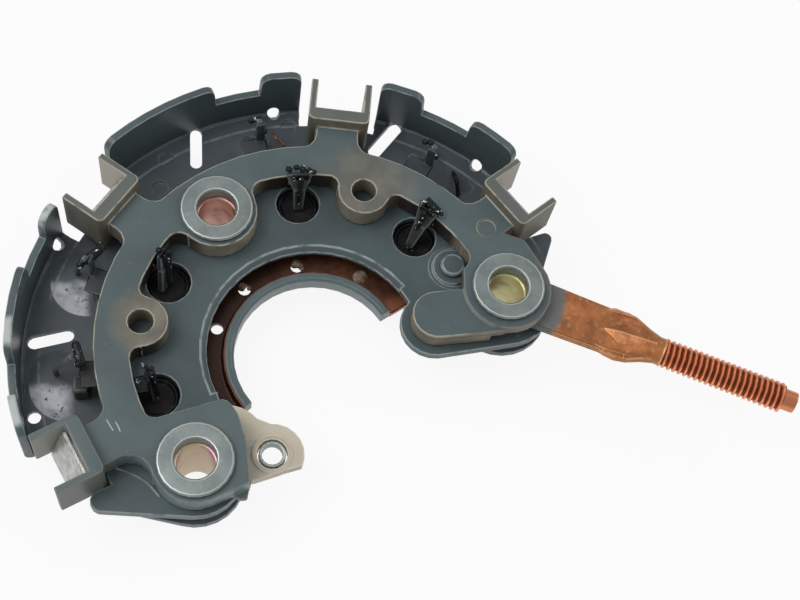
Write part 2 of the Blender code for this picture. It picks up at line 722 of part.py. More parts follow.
def hook(model, name, place, root, side, width, tab, rise):
    """A metal finger: a flat tab out of the plate, with a finger that stands up at its clockwise end."""
    angle, stand = place
    near, far = hook_edges(stand, side)
    level = PLATE_BOTTOM + HOOK_LEVEL
    low = -width / 2
    tab_bar = bar(min(root, near), max(root, far), low, low + tab)
    finger_bar = bar(near + LAP, far - LAP, low + LAP, low + width - LAP)
    flat = slab(name, [turned_shape(tab_bar, angle)], level, level + HOOK_THICKNESS)
    finger = slab(name + "_finger", [turned_shape(finger_bar, angle)], level + LAP, PLATE_TOP + rise)
    model.join(model.keep(flat, VARNISH), finger)


def hook_pocket(name, place, root, side, width, tab):
    """The pocket in the plate that a hook's root lies in."""
    angle, stand = place
    back = root - side * CLEARANCE
    level = PLATE_BOTTOM + HOOK_LEVEL
    low = -width / 2
    pocket = bar(min(back, stand), max(back, stand), low - CLEARANCE, low + tab + CLEARANCE)
    return slab(name, [turned_shape(pocket, angle)], level - CLEARANCE, level + HOOK_THICKNESS + CLEARANCE)


def positive_places():
    return [(angle, PLATE_INNER - inset) for angle, inset in POS_HOOKS]


def negative_places():
    return [(angle, PLATE_OUTER + offset) for angle, offset in NEG_HOOKS]


def make_hooks_and_leads(model):
    reach = HOOK_THICKNESS + CLEARANCE + LEAD_RADIUS
    resin = POS_BOTTOM + POS_DIODE_RISE - POS_DIODE_RECESS + CLEARANCE
    root = PLATE_INNER + POS_HOOK_ROOT
    for i, (place, foot_angle) in enumerate(zip(positive_places(), POS_DIODE_ANGLES), 1):
        hook(model, f"positive_hook_{i}", place, root, -1, POS_HOOK_WIDTH, POS_HOOK_WIDTH, POS_HOOK_RISE)
        foot = (*polar(POS_DIODE_CIRCLE, foot_angle), resin)
        head = (*polar(place[1] - reach, place[0]), PLATE_TOP + POS_HOOK_RISE + LEAD_RADIUS)
        model.keep(lead(f"positive_lead_{i}", foot, head, POS_TOP), VARNISH)
    resin = NEG_TOP + NEG_DIODE_RISE - NEG_DIODE_RECESS + CLEARANCE
    root = PLATE_OUTER - NEG_HOOK_ROOT
    for i, (place, foot_angle) in enumerate(zip(negative_places(), NEG_DIODE_ANGLES), 1):
        hook(model, f"negative_hook_{i}", place, root, 1, NEG_HOOK_WIDTH, NEG_HOOK_TAB, NEG_HOOK_RISE)
        foot = (*polar(NEG_DIODE_CIRCLE, foot_angle), resin)
        head = (*polar(place[1] + reach, place[0]), PLATE_TOP + NEG_HOOK_RISE - LEAD_RADIUS)
        model.keep(lead(f"negative_lead_{i}", foot, head, POS_BOTTOM), VARNISH)


def fork_shape():
    """The U of a lead guide, drawn along +X, with round outer corners at its back."""
    half = FORK_GAP / 2 + FORK_LEG
    inner = FORK_BACK + FORK_BACK_WALL
    tip = FORK_BACK + FORK_LENGTH
    high = arc((FORK_BACK + FORK_CORNER, half - FORK_CORNER), FORK_CORNER, 90, 180)
    low = arc((FORK_BACK + FORK_CORNER, FORK_CORNER - half), FORK_CORNER, 180, 270)
    return [*low, (tip, -half), (tip, -FORK_GAP / 2), (inner, -FORK_GAP / 2),
            (inner, FORK_GAP / 2), (tip, FORK_GAP / 2), (tip, half), *high]


def shaft_axis():
    """Where the shaft's axis lies when the origin is under the middle of the part's box."""
    lowest = min(y for _, y in turned_shape(fork_shape(), FORK_ANGLES[0]))
    return ((WALL_RADIUS - DOG_END) / 2, -(WALL_RADIUS + lowest) / 2)


def fork_clearance():
    """What the heat sink leaves free round a lead guide, drawn along +X."""
    half = FORK_GAP / 2 + FORK_LEG + CLEARANCE
    back = FORK_BACK - CLEARANCE
    tip = FORK_BACK + FORK_LENGTH + CLEARANCE
    return [(back, -half), (tip, -half), (tip, half), (back, half)]


def neck_shape():
    """The neck that carries a lead guide, with round inner corners where it leaves the plate."""
    wide = NECK_HALF_WIDTH + NECK_FILLET
    root = math.sqrt(PLATE_OUTER ** 2 - wide ** 2) - CLEARANCE
    low = arc((root + NECK_FILLET, -wide), NECK_FILLET, 180, 90)
    high = arc((root + NECK_FILLET, wide), NECK_FILLET, 270, 180)
    back = PLATE_OUTER - NECK_FILLET
    end = FORK_BACK + FORK_BACK_WALL / 2
    return [(back, -wide), *low, (end, -NECK_HALF_WIDTH), (end, NECK_HALF_WIDTH), *high, (back, wide)]


def foot_bar():
    foot_line = shifted(FOOT_END, FOOT_BAR_LENGTH, FOOT_BAR_ANGLE)
    return oblong(FOOT_END, foot_line, FOOT_RADIUS)


def rim_fillet(place, radius, side, round_off):
    """What rounds the corner between a disc and the plate's inner edge: a web, and the disc cut from it."""
    distance = math.hypot(*place)
    angle = math.degrees(math.atan2(place[1], place[0]))
    reach = PLATE_INNER - round_off
    across = radius + round_off
    turn = (reach ** 2 + distance ** 2 - across ** 2) / (2 * reach * distance)
    heading = angle + side * math.degrees(math.acos(turn))
    centre = polar(reach, heading)
    touch = [(a * round_off + b * radius) / across for a, b in zip(place, centre)]
    web = hull([polar(PLATE_INNER, heading), tuple(touch), place, polar(PLATE_INNER + round_off, angle)])
    return web, disc(centre, round_off)


def plate_outline():
    ear = WASHER_RADIUS + EAR_MARGIN
    left_ear = disc(BUSHING_LEFT, ear)
    right_ear = disc(BUSHING_RIGHT, COLLAR_RADIUS)
    holes = [polar(PLATE_INNER - SMALL_HOLE_INSET, angle) for angle in SMALL_HOLE_ANGLES]
    end_across, end_up, end_round = LEFT_END[0]
    sides = (-1, 1)
    fillets = [rim_fillet(hole, SMALL_HOLE_LOBE, side, SMALL_HOLE_FILLET) for hole in holes for side in sides]
    fillets += [rim_fillet(BUSHING_MIDDLE, ear, side, EAR_FILLET) for side in sides]
    end = beside(BUSHING_LEFT, end_across, end_up)
    fillets.append(rim_fillet(end, end_round, -1, SMALL_HOLE_FILLET))
    add = [sector(PLATE_START, PLATE_END, PLATE_INNER, PLATE_OUTER), right_ear, disc(BUSHING_MIDDLE, ear),
           hull(left_ear, rounded(BUSHING_LEFT, LEFT_END)),
           hull(right_ear, rounded(BUSHING_RIGHT, RIGHT_SHOULDER))]
    add += [disc(hole, SMALL_HOLE_LOBE) for hole in holes]
    add += [web for web, _ in fillets]
    add += [turned_shape(neck_shape(), angle) for angle in FORK_ANGLES]
    cut = [disc(place, WASHER_NECK_RADIUS + CLEARANCE) for place in BUSHINGS]
    cut += [disc(hole, SMALL_HOLE_RADIUS) for hole in holes]
    cut += [window for _, window in fillets]
    cut += [disc(polar(PLATE_OUTER + RECESS_OFFSET, RECESS_ANGLE), RECESS_RADIUS)]
    cut += [disc(RIVET_PLACE, RIVET_HEAD_RADIUS + CLEARANCE)]
    return outline(add, cut)


def make_terminal_plate(model):
    plate = model.keep(slab("terminal_plate", plate_outline(), PLATE_BOTTOM, PLATE_TOP), MOULDING)
    foot_loops = outline([foot_bar()], [disc(BUSHING_RIGHT, WASHER_NECK_RADIUS + 2 * CLEARANCE)])
    foot = slab("foot_block", foot_loops, PLATE_BOTTOM + LAP, PLATE_TOP - FOOT_DROP)
    forks = [slab(f"lead_guide_{i}", [turned_shape(fork_shape(), angle)], FORK_BOTTOM, FORK_TOP)
             for i, angle in enumerate(FORK_ANGLES, 1)]
    tab = slab("left_tab", [rounded(BUSHING_LEFT, LEFT_TAB)], PLATE_BOTTOM + LAP,
               PLATE_BOTTOM + LEFT_TAB_THICKNESS)
    model.join(plate, foot, tab, *forks)
    paddle_side = PADDLE_ROOT_WIDTH / 2 + BOLT_OFFSET + 2 * CLEARANCE
    paddle_end = shifted(BUSHING_RIGHT, 3 * EYELET_RADIUS, 0)
    pocket = outline([disc(BUSHING_RIGHT, EYELET_POCKET), oblong(BUSHING_RIGHT, paddle_end, paddle_side)])
    pocket_top = PLATE_BOTTOM + PADDLE_THICKNESS + CLEARANCE
    seat_top = POS_TOP + RIVET_SEAT_HEIGHT + CLEARANCE
    cutters = [slab("eyelet_pocket", pocket, POS_BOTTOM, pocket_top),
               cylinder("seat_pocket", RIVET_PLACE, RIVET_SEAT_RADIUS + CLEARANCE, POS_TOP, seat_top)]
    root = PLATE_INNER + POS_HOOK_ROOT
    cutters += [hook_pocket(f"positive_pocket_{i}", place, root, -1, POS_HOOK_WIDTH, POS_HOOK_WIDTH)
                for i, place in enumerate(positive_places(), 1)]
    root = PLATE_OUTER - NEG_HOOK_ROOT
    cutters += [hook_pocket(f"negative_pocket_{i}", place, root, 1, NEG_HOOK_WIDTH, NEG_HOOK_TAB)
                for i, place in enumerate(negative_places(), 1)]
    model.cut(plate, *cutters)


def make_stator_terminals(model):
    """A metal strip at the back of each lead guide, with its foot leaning outward."""
    top_edge = FORK_BACK + FORK_BACK_WALL + CLEARANCE
    foot_edge = top_edge + TERMINAL_SPREAD
    bottom = FORK_BOTTOM + TERMINAL_MARGIN
    top = FORK_TOP - TERMINAL_TOP_INSET
    section = [(foot_edge, bottom), (foot_edge + TERMINAL_THICKNESS, bottom),
               (top_edge + TERMINAL_THICKNESS, top), (top_edge, top)]
    half = FORK_GAP / 2 - CLEARANCE
    for i, angle in enumerate(FORK_ANGLES, 1):
        ends = [[(*turned_shape([(x, y)], angle)[0], z) for x, z in section] for y in (-half, half)]
        model.keep(loft(f"stator_terminal_{i}", ends), TINNED)


def make_bushings(model):
    neck_bottom = PLATE_TOP - WASHER_NECK_DEPTH
    washer_top = WASHER_BOTTOM + WASHER_THICKNESS
    edge = WASHER_THICKNESS / 5
    washer = [(WASHER_RADIUS - edge, washer_top), (WASHER_RADIUS, washer_top - edge),
              (WASHER_RADIUS, WASHER_BOTTOM), (WASHER_NECK_RADIUS, WASHER_BOTTOM),
              (WASHER_NECK_RADIUS, neck_bottom), (WASHER_BORE, neck_bottom),
              (WASHER_BORE, washer_top - edge), (WASHER_BORE + edge, washer_top)]
    sleeve = [(SLEEVE_RADIUS, SLEEVE_TOP), (SLEEVE_RADIUS, SLEEVE_FOOT_HEIGHT),
              (SLEEVE_FOOT_RADIUS, SLEEVE_FOOT_HEIGHT), (SLEEVE_FOOT_RADIUS, 0),
              (SLEEVE_BORE, 0), (SLEEVE_BORE, SLEEVE_TOP)]
    bush = [(BUSH_NECK_RADIUS, POS_TOP), (BUSH_NECK_RADIUS, SPACER_TOP), (BUSH_FLANGE_RADIUS, SPACER_TOP),
            (BUSH_FLANGE_RADIUS, SPACER_BOTTOM), (SLEEVE_HOLE, SPACER_BOTTOM), (SLEEVE_HOLE, POS_TOP)]
    for i, place in enumerate(BUSHINGS, 1):
        model.keep(turned(f"flanged_washer_{i}", washer, place, closed=True), WASHER_STEEL)
        model.keep(turned(f"bushing_sleeve_{i}", sleeve, place, closed=True), SLEEVE_STEEL)
    for i, place in enumerate(BUSHINGS[1:], 2):
        model.keep(turned(f"insulator_bush_{i}", bush, place, closed=True), PALE_MOULDING)


def lug_disc():
    """The lug's round end, with the flat on its outer side."""
    out = polar(1, LUG_FLAT_ANGLE)
    points = disc((0, 0), LUG_RADIUS)
    return [beside(LUG_PLACE, x, y) for x, y in points if x * out[0] + y * out[1] < LUG_FLAT]


def make_lug(model):
    bridge = hull(disc(BUSHING_LEFT, BUSH_FLANGE_RADIUS), disc(LUG_BRIDGE_PLACE, LUG_BRIDGE_RADIUS))
    shapes = [bridge, hull(lug_disc()), rounded(LUG_PLACE, LUG_WEB)]
    loops = outline(shapes, [disc(LUG_PLACE, INSERT_RADIUS + CLEARANCE)])
    plate = model.keep(slab("lug_insulator", loops, SPACER_BOTTOM, SPACER_TOP), PALE_MOULDING)
    neck = cylinder("lug_bush_neck", BUSHING_LEFT, BUSH_NECK_RADIUS, SPACER_BOTTOM + LAP, POS_TOP)
    model.join(plate, neck)
    model.cut(plate, cylinder("lug_bore", BUSHING_LEFT, SLEEVE_HOLE, NEG_BOTTOM, PLATE_TOP))
    insert = [(INSERT_RADIUS, SPACER_TOP), (INSERT_RADIUS, SPACER_BOTTOM), (INSERT_BORE, SPACER_BOTTOM),
              (INSERT_BORE, SPACER_TOP)]
    model.keep(turned("lug_insert", insert, LUG_PLACE, closed=True), WASHER_STEEL)


def make_rivet(model):
    seat = POS_TOP + RIVET_SEAT_HEIGHT + CLEARANCE
    head = seat + RIVET_HEAD_HEIGHT
    soft = RIVET_HEAD_HEIGHT / 3
    under = POS_BOTTOM - CLEARANCE
    tail = under - RIVET_TAIL_HEIGHT
    profile = [(0, head), (RIVET_HEAD_RADIUS - soft, head), (RIVET_HEAD_RADIUS, head - soft),
               (RIVET_HEAD_RADIUS, seat), (RIVET_SHANK_RADIUS, seat), (RIVET_SHANK_RADIUS, under),
               (RIVET_TAIL_RADIUS, under), (RIVET_TAIL_RADIUS - soft, tail), (0, tail)]
    model.keep(turned("rivet", profile, RIVET_PLACE), POS_COPPER)


def bolt_section(x, width, height, power, axis_y, axis_z, count=24):
    """A ring across the bolt: a circle at power 2, ever squarer above it."""
    ring = []
    for i in range(count):
        c, s = polar(1, 360 * (i + 0.5) / count)
        across = math.copysign(abs(c) ** (2 / power), c) * width / 2
        up = math.copysign(abs(s) ** (2 / power), s) * height / 2
        ring.append((x, axis_y + across, axis_z + up))
    return ring


def make_terminal_bolt(model):
    bottom = POS_TOP + CLEARANCE
    axis_z = bottom + PADDLE_THICKNESS / 2
    axis_y = BUSHING_RIGHT[1] + BOLT_OFFSET
    root_x = BUSHING_RIGHT[0] + SLEEVE_HOLE + CLEARANCE
    shank = 2 * SHANK_RADIUS
    thread = 2 * THREAD_RADIUS
    dog = 2 * DOG_RADIUS
    edge = THREAD_RADIUS - SHANK_RADIUS
    dog_edge = DOG_RADIUS / 4
    stations = [
        (root_x, PADDLE_ROOT_WIDTH, PADDLE_THICKNESS, PADDLE_SQUARENESS),
        (PADDLE_END, PADDLE_END_WIDTH, PADDLE_THICKNESS, PADDLE_SQUARENESS),
        *[(PADDLE_END + along, *rest) for along, *rest in FLARE_STATIONS],
        (SHANK_START, shank, shank, ROUND),
        (THREAD_START, shank, shank, ROUND),
        (THREAD_START + edge, thread, thread, ROUND),
        (THREAD_END - edge, thread, thread, ROUND),
        (THREAD_END, dog, dog, ROUND),
        (DOG_END - dog_edge, dog, dog, ROUND),
        (DOG_END, dog - 2 * dog_edge, dog - 2 * dog_edge, ROUND),
    ]
    shaft = loft("terminal_bolt_shaft", [bolt_section(*station, axis_y, axis_z) for station in stations])
    eyelet_loops = outline([disc(BUSHING_RIGHT, EYELET_RADIUS)], [disc(BUSHING_RIGHT, SLEEVE_HOLE)])
    bolt = model.keep(slab("terminal_bolt", eyelet_loops, bottom, bottom + PADDLE_THICKNESS), COPPER)
    model.join(bolt, shaft)


def main():
    clear_scene()
    model = Model(shaft_axis())
    make_negative_heat_sink(model)
    make_positive_heat_sink(model)
    make_diodes(model)
    make_hooks_and_leads(model)
    make_terminal_plate(model)
    make_stator_terminals(model)
    make_bushings(model)
    make_lug(model)
    make_rivet(model)
    make_terminal_bolt(model)


main()
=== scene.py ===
import math

import bmesh
import bpy
from bpy.props import FloatProperty, FloatVectorProperty, IntProperty, PointerProperty
from bpy.types import Operator, Panel, PropertyGroup
from mathutils import Matrix, Vector, noise
from mathutils.bvhtree import BVHTree


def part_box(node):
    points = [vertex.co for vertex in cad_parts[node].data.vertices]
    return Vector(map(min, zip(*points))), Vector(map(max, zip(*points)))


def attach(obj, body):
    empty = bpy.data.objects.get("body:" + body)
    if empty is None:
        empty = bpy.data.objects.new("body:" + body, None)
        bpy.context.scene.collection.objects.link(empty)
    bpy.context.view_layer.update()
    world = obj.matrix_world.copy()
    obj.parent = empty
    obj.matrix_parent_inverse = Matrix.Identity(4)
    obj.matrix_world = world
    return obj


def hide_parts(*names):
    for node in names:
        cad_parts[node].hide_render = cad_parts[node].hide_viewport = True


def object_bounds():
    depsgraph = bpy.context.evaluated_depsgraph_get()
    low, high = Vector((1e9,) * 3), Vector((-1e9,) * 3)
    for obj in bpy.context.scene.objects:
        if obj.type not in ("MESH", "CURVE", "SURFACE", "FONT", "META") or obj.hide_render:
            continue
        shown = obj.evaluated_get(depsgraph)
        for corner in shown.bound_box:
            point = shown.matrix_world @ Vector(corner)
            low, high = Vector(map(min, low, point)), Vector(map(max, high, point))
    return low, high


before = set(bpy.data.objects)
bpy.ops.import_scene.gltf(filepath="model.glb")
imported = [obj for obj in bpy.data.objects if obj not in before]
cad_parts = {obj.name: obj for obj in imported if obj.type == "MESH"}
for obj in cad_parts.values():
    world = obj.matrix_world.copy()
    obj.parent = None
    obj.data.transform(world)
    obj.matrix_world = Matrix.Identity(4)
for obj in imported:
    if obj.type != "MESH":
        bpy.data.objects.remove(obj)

bl_info = {
    "name": "Alternator rectifier",
    "version": (1, 0, 0),
    "blender": (4, 5, 0),
    "location": "View3D > Sidebar > Rectifier",
    "description": "Paint, mouldings, varnished leads, washers and terminal bolt of an alternator rectifier",
    "category": "Object",
}

CAD_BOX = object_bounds()
MM = 0.001


def middle(node):
    low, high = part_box(node)
    return (low + high) / 2


# Places of the bushings round the shaft's axis, and the height of the washers' faces, in millimetres
LEFT_BUSHING = (-11.8, -31.7)
MIDDLE_BUSHING = (-28.75, 17.86)
RIGHT_BUSHING = (31.0, 25.0)
FACE_HEIGHT = 13.5

# The shaft's axis, which the horseshoe is drawn round, and the level that heights are counted from
RIGHT_WASHER = middle("flanged_washer_3")
AXIS = Vector((RIGHT_WASHER.x - RIGHT_BUSHING[0] * MM, RIGHT_WASHER.y - RIGHT_BUSHING[1] * MM, 0))
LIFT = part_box("flanged_washer_3")[1].z - FACE_HEIGHT * MM


def at(x, y, z=0.0):
    """A point in millimetres from the shaft's axis; z 13.5 is the level of the washers' faces."""
    return AXIS + Vector((x * MM, y * MM, z * MM + LIFT))


def across(x, y):
    """The level direction along the horseshoe's curve at a point."""
    return Vector((-y, x, 0)).normalized()


# Materials


class Wire:
    """A socket that can be reckoned with: each operator adds a Math node."""

    def __init__(self, skin, socket):
        self.skin = skin
        self.socket = socket

    def reckon(self, operation, *values):
        inputs = dict(enumerate(values))
        return self.skin.node("Math", {"operation": operation}, inputs)

    def __add__(self, other):
        return self.reckon("ADD", self, other)

    def __radd__(self, other):
        return self.reckon("ADD", other, self)

    def __sub__(self, other):
        return self.reckon("SUBTRACT", self, other)

    def __rsub__(self, other):
        return self.reckon("SUBTRACT", other, self)

    def __mul__(self, other):
        return self.reckon("MULTIPLY", self, other)

    def clamped(self):
        return self.reckon("MAXIMUM", self.reckon("MINIMUM", self, 1.0), 0.0)


class Skin:
    """A node material with a Principled shader and what its patterns need."""

    def __init__(self, name, color, roughness, metallic=0.0, **fixed):
        self.material = bpy.data.materials.new(name)
        self.material.use_nodes = True
        self.tree = self.material.node_tree
        self.shader = self.tree.nodes["Principled BSDF"]
        self.set(Roughness=roughness, Metallic=metallic, **fixed)
        self.shader.inputs["Base Color"].default_value = (*color, 1.0)
        self.material.diffuse_color = (*color, 1.0)

    def set(self, **values):
        for name, value in values.items():
            self.plug(self.shader.inputs[name.replace("_", " ")], value)

    def plug(self, socket, value):
        if isinstance(value, Wire):
            self.tree.links.new(value.socket, socket)
        elif hasattr(value, "__len__") and len(socket.default_value) == 4 and len(value) == 3:
            socket.default_value = (*value, 1.0)
        else:
            socket.default_value = value

    def node(self, kind, settings=None, inputs=None, output=0):
        made = self.tree.nodes.new("ShaderNode" + kind)
        for key, value in (settings or {}).items():
            if key == "stops":
                ramp = made.color_ramp
                while len(ramp.elements) < len(value):
                    ramp.elements.new(1.0)
                for element, (place, color) in zip(ramp.elements, value):
                    element.position = place
                    element.color = (*color, 1.0)
            else:
                setattr(made, key, value)
        for key, value in (inputs or {}).items():
            self.plug(made.inputs[key], value)
        return Wire(self, made.outputs[output])

    def vector(self, operation, first, second, output=0):
        return self.node("VectorMath", {"operation": operation}, {0: first, 1: second}, output)

    def place(self):
        return self.node("TexCoord", output="Object")

    def facing(self):
        """How far the face points up, from -1 to 1."""
        normal = self.node("TexCoord", output="Normal")
        return self.node("SeparateXYZ", None, {0: normal}, "Z")

    def steep(self, low, high):
        """1 where the face points up by less than low, 0 where by more than high."""
        return 1 - self.step(self.facing(), low, high)

    def level(self):
        """Height in metres above the level that at() counts from."""
        return self.node("SeparateXYZ", None, {0: self.place()}, "Z") - LIFT

    def away(self, x, y):
        """How far from an upright line through a point given in millimetres, in metres."""
        flat = self.vector("MULTIPLY", self.place(), (1.0, 1.0, 0.0))
        return self.vector("DISTANCE", flat, (at(x, y).x, at(x, y).y, 0.0), "Value")

    def beyond(self, x, y, direction):
        """How far past a point in plan along a level direction, in metres."""
        spot = at(x, y)
        share = self.vector("DOT_PRODUCT", self.place(), direction, "Value")
        return share - (spot.x * direction[0] + spot.y * direction[1])

    def near(self, x, y, inner, outer):
        """1 within inner millimetres of a point in plan, 0 past outer."""
        return self.under(self.away(x, y), inner, outer)

    def over(self, distance, low, high):
        """0 under low millimetres, 1 over high."""
        return self.step(distance, low * MM, high * MM)

    def under(self, distance, low, high):
        """1 under low millimetres, 0 over high."""
        return 1 - self.over(distance, low, high)

    def band(self, distance, start, full, fading, end):
        """1 between two distances in millimetres, fading out on both sides."""
        return self.over(distance, start, full) * self.under(distance, fading, end)

    def mark(self, name):
        """A number that the mesh carries on its faces' corners, such as how much of an edge they are."""
        return self.node("Attribute", {"attribute_name": name}, None, "Fac")

    def noise(self, scale, detail=3.0):
        inputs = {"Vector": self.place(), "Scale": scale, "Detail": detail, "Roughness": 0.55}
        return self.node("TexNoise", None, inputs, "Fac")

    def spots(self, low, high, scale, detail=3.0):
        """Noise sharpened into spots, 1 where it is above high."""
        return self.step(self.noise(scale, detail), low, high)

    def step(self, value, low, high):
        """0 below low, 1 above high, smooth between."""
        settings = {"interpolation_type": "SMOOTHSTEP"}
        return self.node("MapRange", settings, {"Value": value, "From Min": low, "From Max": high})

    def mix(self, factor, first, second):
        settings = {"data_type": "RGBA"}
        return self.node("Mix", settings, {0: factor, 6: first, 7: second}, 2)

    def mottled(self, pattern, color, dark, light=1.0, low=0.3, high=0.7):
        """A colour that drifts from a dark to a light shade with a pattern."""
        return self.mix(self.step(pattern, low, high), shade(color, dark), shade(color, light))

    def bump(self, height, strength, distance):
        inputs = {"Height": height, "Strength": strength, "Distance": distance}
        self.set(Normal=self.node("Bump", None, inputs))

    def dressed(self, tone, pattern, roughness, drift, strength, distance):
        """Takes a colour, and a pattern that drives roughness and bump."""
        self.set(Base_Color=tone, Roughness=roughness + pattern * drift)
        self.bump(pattern, strength, distance)
        return self


def shade(color, share):
    return tuple(min(1.0, c * share) for c in color)


def paint_worn_and_highlit_at_edges(skin, look):
    """Slate paint that is a little uneven, and lighter along its edges: thin paint there, and a painted
    highlight.
    """
    broad = skin.noise(70.0, 4.0)
    fine = skin.noise(900.0, 5.0)
    tone = skin.mottled(broad, look.paint, 0.86, 1.16)
    tone = skin.mix(skin.step(fine, 0.66, 0.74) * 0.4, tone, shade(look.paint, 1.7))
    # Pale marks along the rounded edges: paint thinned by wear, and a painted highlight
    wear_and_highlight = skin.mark("rim") * skin.spots(0.26, 0.52, 420.0)
    skin.set(Roughness=skin.step(fine, 0.2, 0.9) * 0.14 + look.paint_roughness)
    skin.bump(broad * 0.5 + fine * 0.12, 0.25, 0.0004)
    return skin.mix(wear_and_highlight * 0.8, tone, look.wear_and_highlight)


def painted(name, look):
    skin = Skin(name, look.paint, 0.4, Specular_IOR_Level=0.4)
    skin.set(Base_Color=paint_worn_and_highlit_at_edges(skin, look))
    return skin


def fold_highlighted(name, look):
    """Paint lighter with a painted highlight, for a raised fold and for the edge of a strip."""
    skin = Skin(name, look.paint, 0.4, Specular_IOR_Level=0.4)
    # Painted highlight: a light share everywhere, more in spots
    thin = skin.spots(0.3, 0.6, 260.0, 3.0)
    skin.set(Base_Color=skin.mix(thin * 0.6 + 0.15, paint_worn_and_highlit_at_edges(skin, look), look.wear_and_highlight))
    return skin


def floor_painted(name, look):
    """Paint of the negative heat sink, glossier and bluer on its floor with a painted sheen, bare in the ring
    inside, with painted highlights, reflections and shade in places.
    """
    skin = Skin(name, look.paint, 0.4, Specular_IOR_Level=0.5)
    coat = paint_worn_and_highlit_at_edges(skin, look)
    level = skin.level()
    radius = skin.away(0, 0)
    drift = skin.noise(95.0)
    low = skin.under(level, 2.4, 6.0)
    # Darker low floor with bluish patches of painted sheen
    sheen = skin.mix(skin.step(drift, 0.35, 0.65), look.floor_dark, look.floor_sheen)
    coat = skin.mix(low * skin.over(radius, 40.0, 46.0) * 0.7, coat, sheen)
    for x, y, size in REFLECTION_PATCHES:
        coat = painted_reflection_patch(skin, look, coat, low, x, y, size)
    # The collar's paint is lighter, and its steep faces take the pale edge colour as a painted highlight
    collar = skin.under(radius, 18.3, 18.6)
    coat = skin.mix(collar * 0.85, coat, skin.mottled(drift, look.paint, 1.1, 1.5))
    coat = skin.mix(collar * skin.steep(0.2, 0.8) * 0.5, coat, look.wear_and_highlight)
    # Pale patches on the walls' top bends: wear, and a painted highlight
    top = skin.over(radius, 57.3, 57.8) * skin.spots(0.34, 0.52, 300.0, 4.0)
    top = top * skin.over(level, 11.5, 14.0)
    for x, y in WORN_AND_LIT_TABS:
        coat = skin.mix(top * skin.near(x, y, 2.2, 3.6) * 0.75, coat, look.bright_wear_and_highlight)
    # Painted highlight along the bend between floor and wall
    fold = skin.band(radius, 53.4, 53.7, 53.9, 54.3) * skin.under(level, 2.6, 3.4)
    coat = skin.mix(fold * skin.spots(0.35, 0.6, 190.0) * 0.55, coat, look.wear_and_highlight)
    bare = skin.over(radius, 17.75, 18.05) * skin.under(radius + drift * 0.002, 23.0, 25.5)
    bare = bare * skin.under(level, 3.95, 4.2)
    coat = skin.mix(bare, coat, tarnished(skin, look, level, radius))
    # Painted highlight in bright copper on the collar's outer top edge, on its far side only
    painted_lip_highlight = collar * skin.over(radius, 17.75, 17.95) * skin.over(level, 3.8, 3.95)
    painted_lip_highlight = painted_lip_highlight * skin.spots(0.36, 0.5, 240.0)
    painted_lip_highlight = painted_lip_highlight * skin.over(skin.beyond(0.0, 0.0, (0.2, 1.0, 0.0)), -2.0, 6.0)
    coat = skin.mix(painted_lip_highlight * 0.75, coat, shade(look.ring_copper, 3.4))
    skin.set(Base_Color=coat, Metallic=bare * 0.5)
    return skin


def painted_reflection_patch(skin, look, coat, low, x, y, size):
    """Painted reflection round a point: painted shade on its outer side, and pale painted glints on the
    other.
    """
    wobble = (skin.noise(210.0, 2.0) - 0.5) * 0.003
    inside = skin.near(x, y, size - 0.3, size)
    over = skin.beyond(x, y, (-0.394, 0.919, 0.0)) + wobble
    past = skin.beyond(x, y, (0.938, 0.346, 0.0)) + wobble
    coat = skin.mix(inside * skin.over(over, -0.5, 1.5) * 0.5, coat, look.floor_dark)
    glow = inside * skin.under(over, -1.2, 0.6) * skin.under(past, -1.0, 1.6)
    glow = glow * skin.spots(0.2, 0.6, 240.0) * skin.spots(0.30, 0.37, 800.0, 2.0)
    return skin.mix(glow * low * 0.95, coat, look.glint)


def tarnished(skin, look, level, radius):
    """Dark copper of the bare ring, darkened also as painted shade from the positive sink, with a bright line
    on its lip, a painted highlight at its end and painted shade at the left.
    """
    tarnish = skin.mottled(skin.noise(330.0, 4.0), look.ring_copper, 0.45)
    shaded = skin.over(skin.beyond(-6.0, 12.0, (-0.8, -0.6, 0.0)), -6.0, 12.0)
    tarnish = skin.mix(shaded * 0.85, tarnish, shade(look.ring_copper, 0.2))
    lip = skin.over(level, 3.4, 3.8) * skin.under(radius, 18.5, 18.9)
    bright = (lip + skin.near(14.5, 14.5, 3.0, 8.0) * 0.9).clamped()
    return skin.mix(bright, tarnish, shade(look.ring_copper, 3.4))


# Places on the wall's outside with pale patches on the top bend: paint thinned by wear, and a painted
# highlight
WORN_AND_LIT_TABS = ((-53.1, -22.3), (-48.0, -31.5), (-58.4, 2.3), (-45.5, -36.4))

# Patches of painted reflection beside the diodes, with painted shade on their outer side: middle and radius
# in millimetres
REFLECTION_PATCHES = ((-47.9, -2.7, 7.4), (-41.9, -23.8, 7.7))


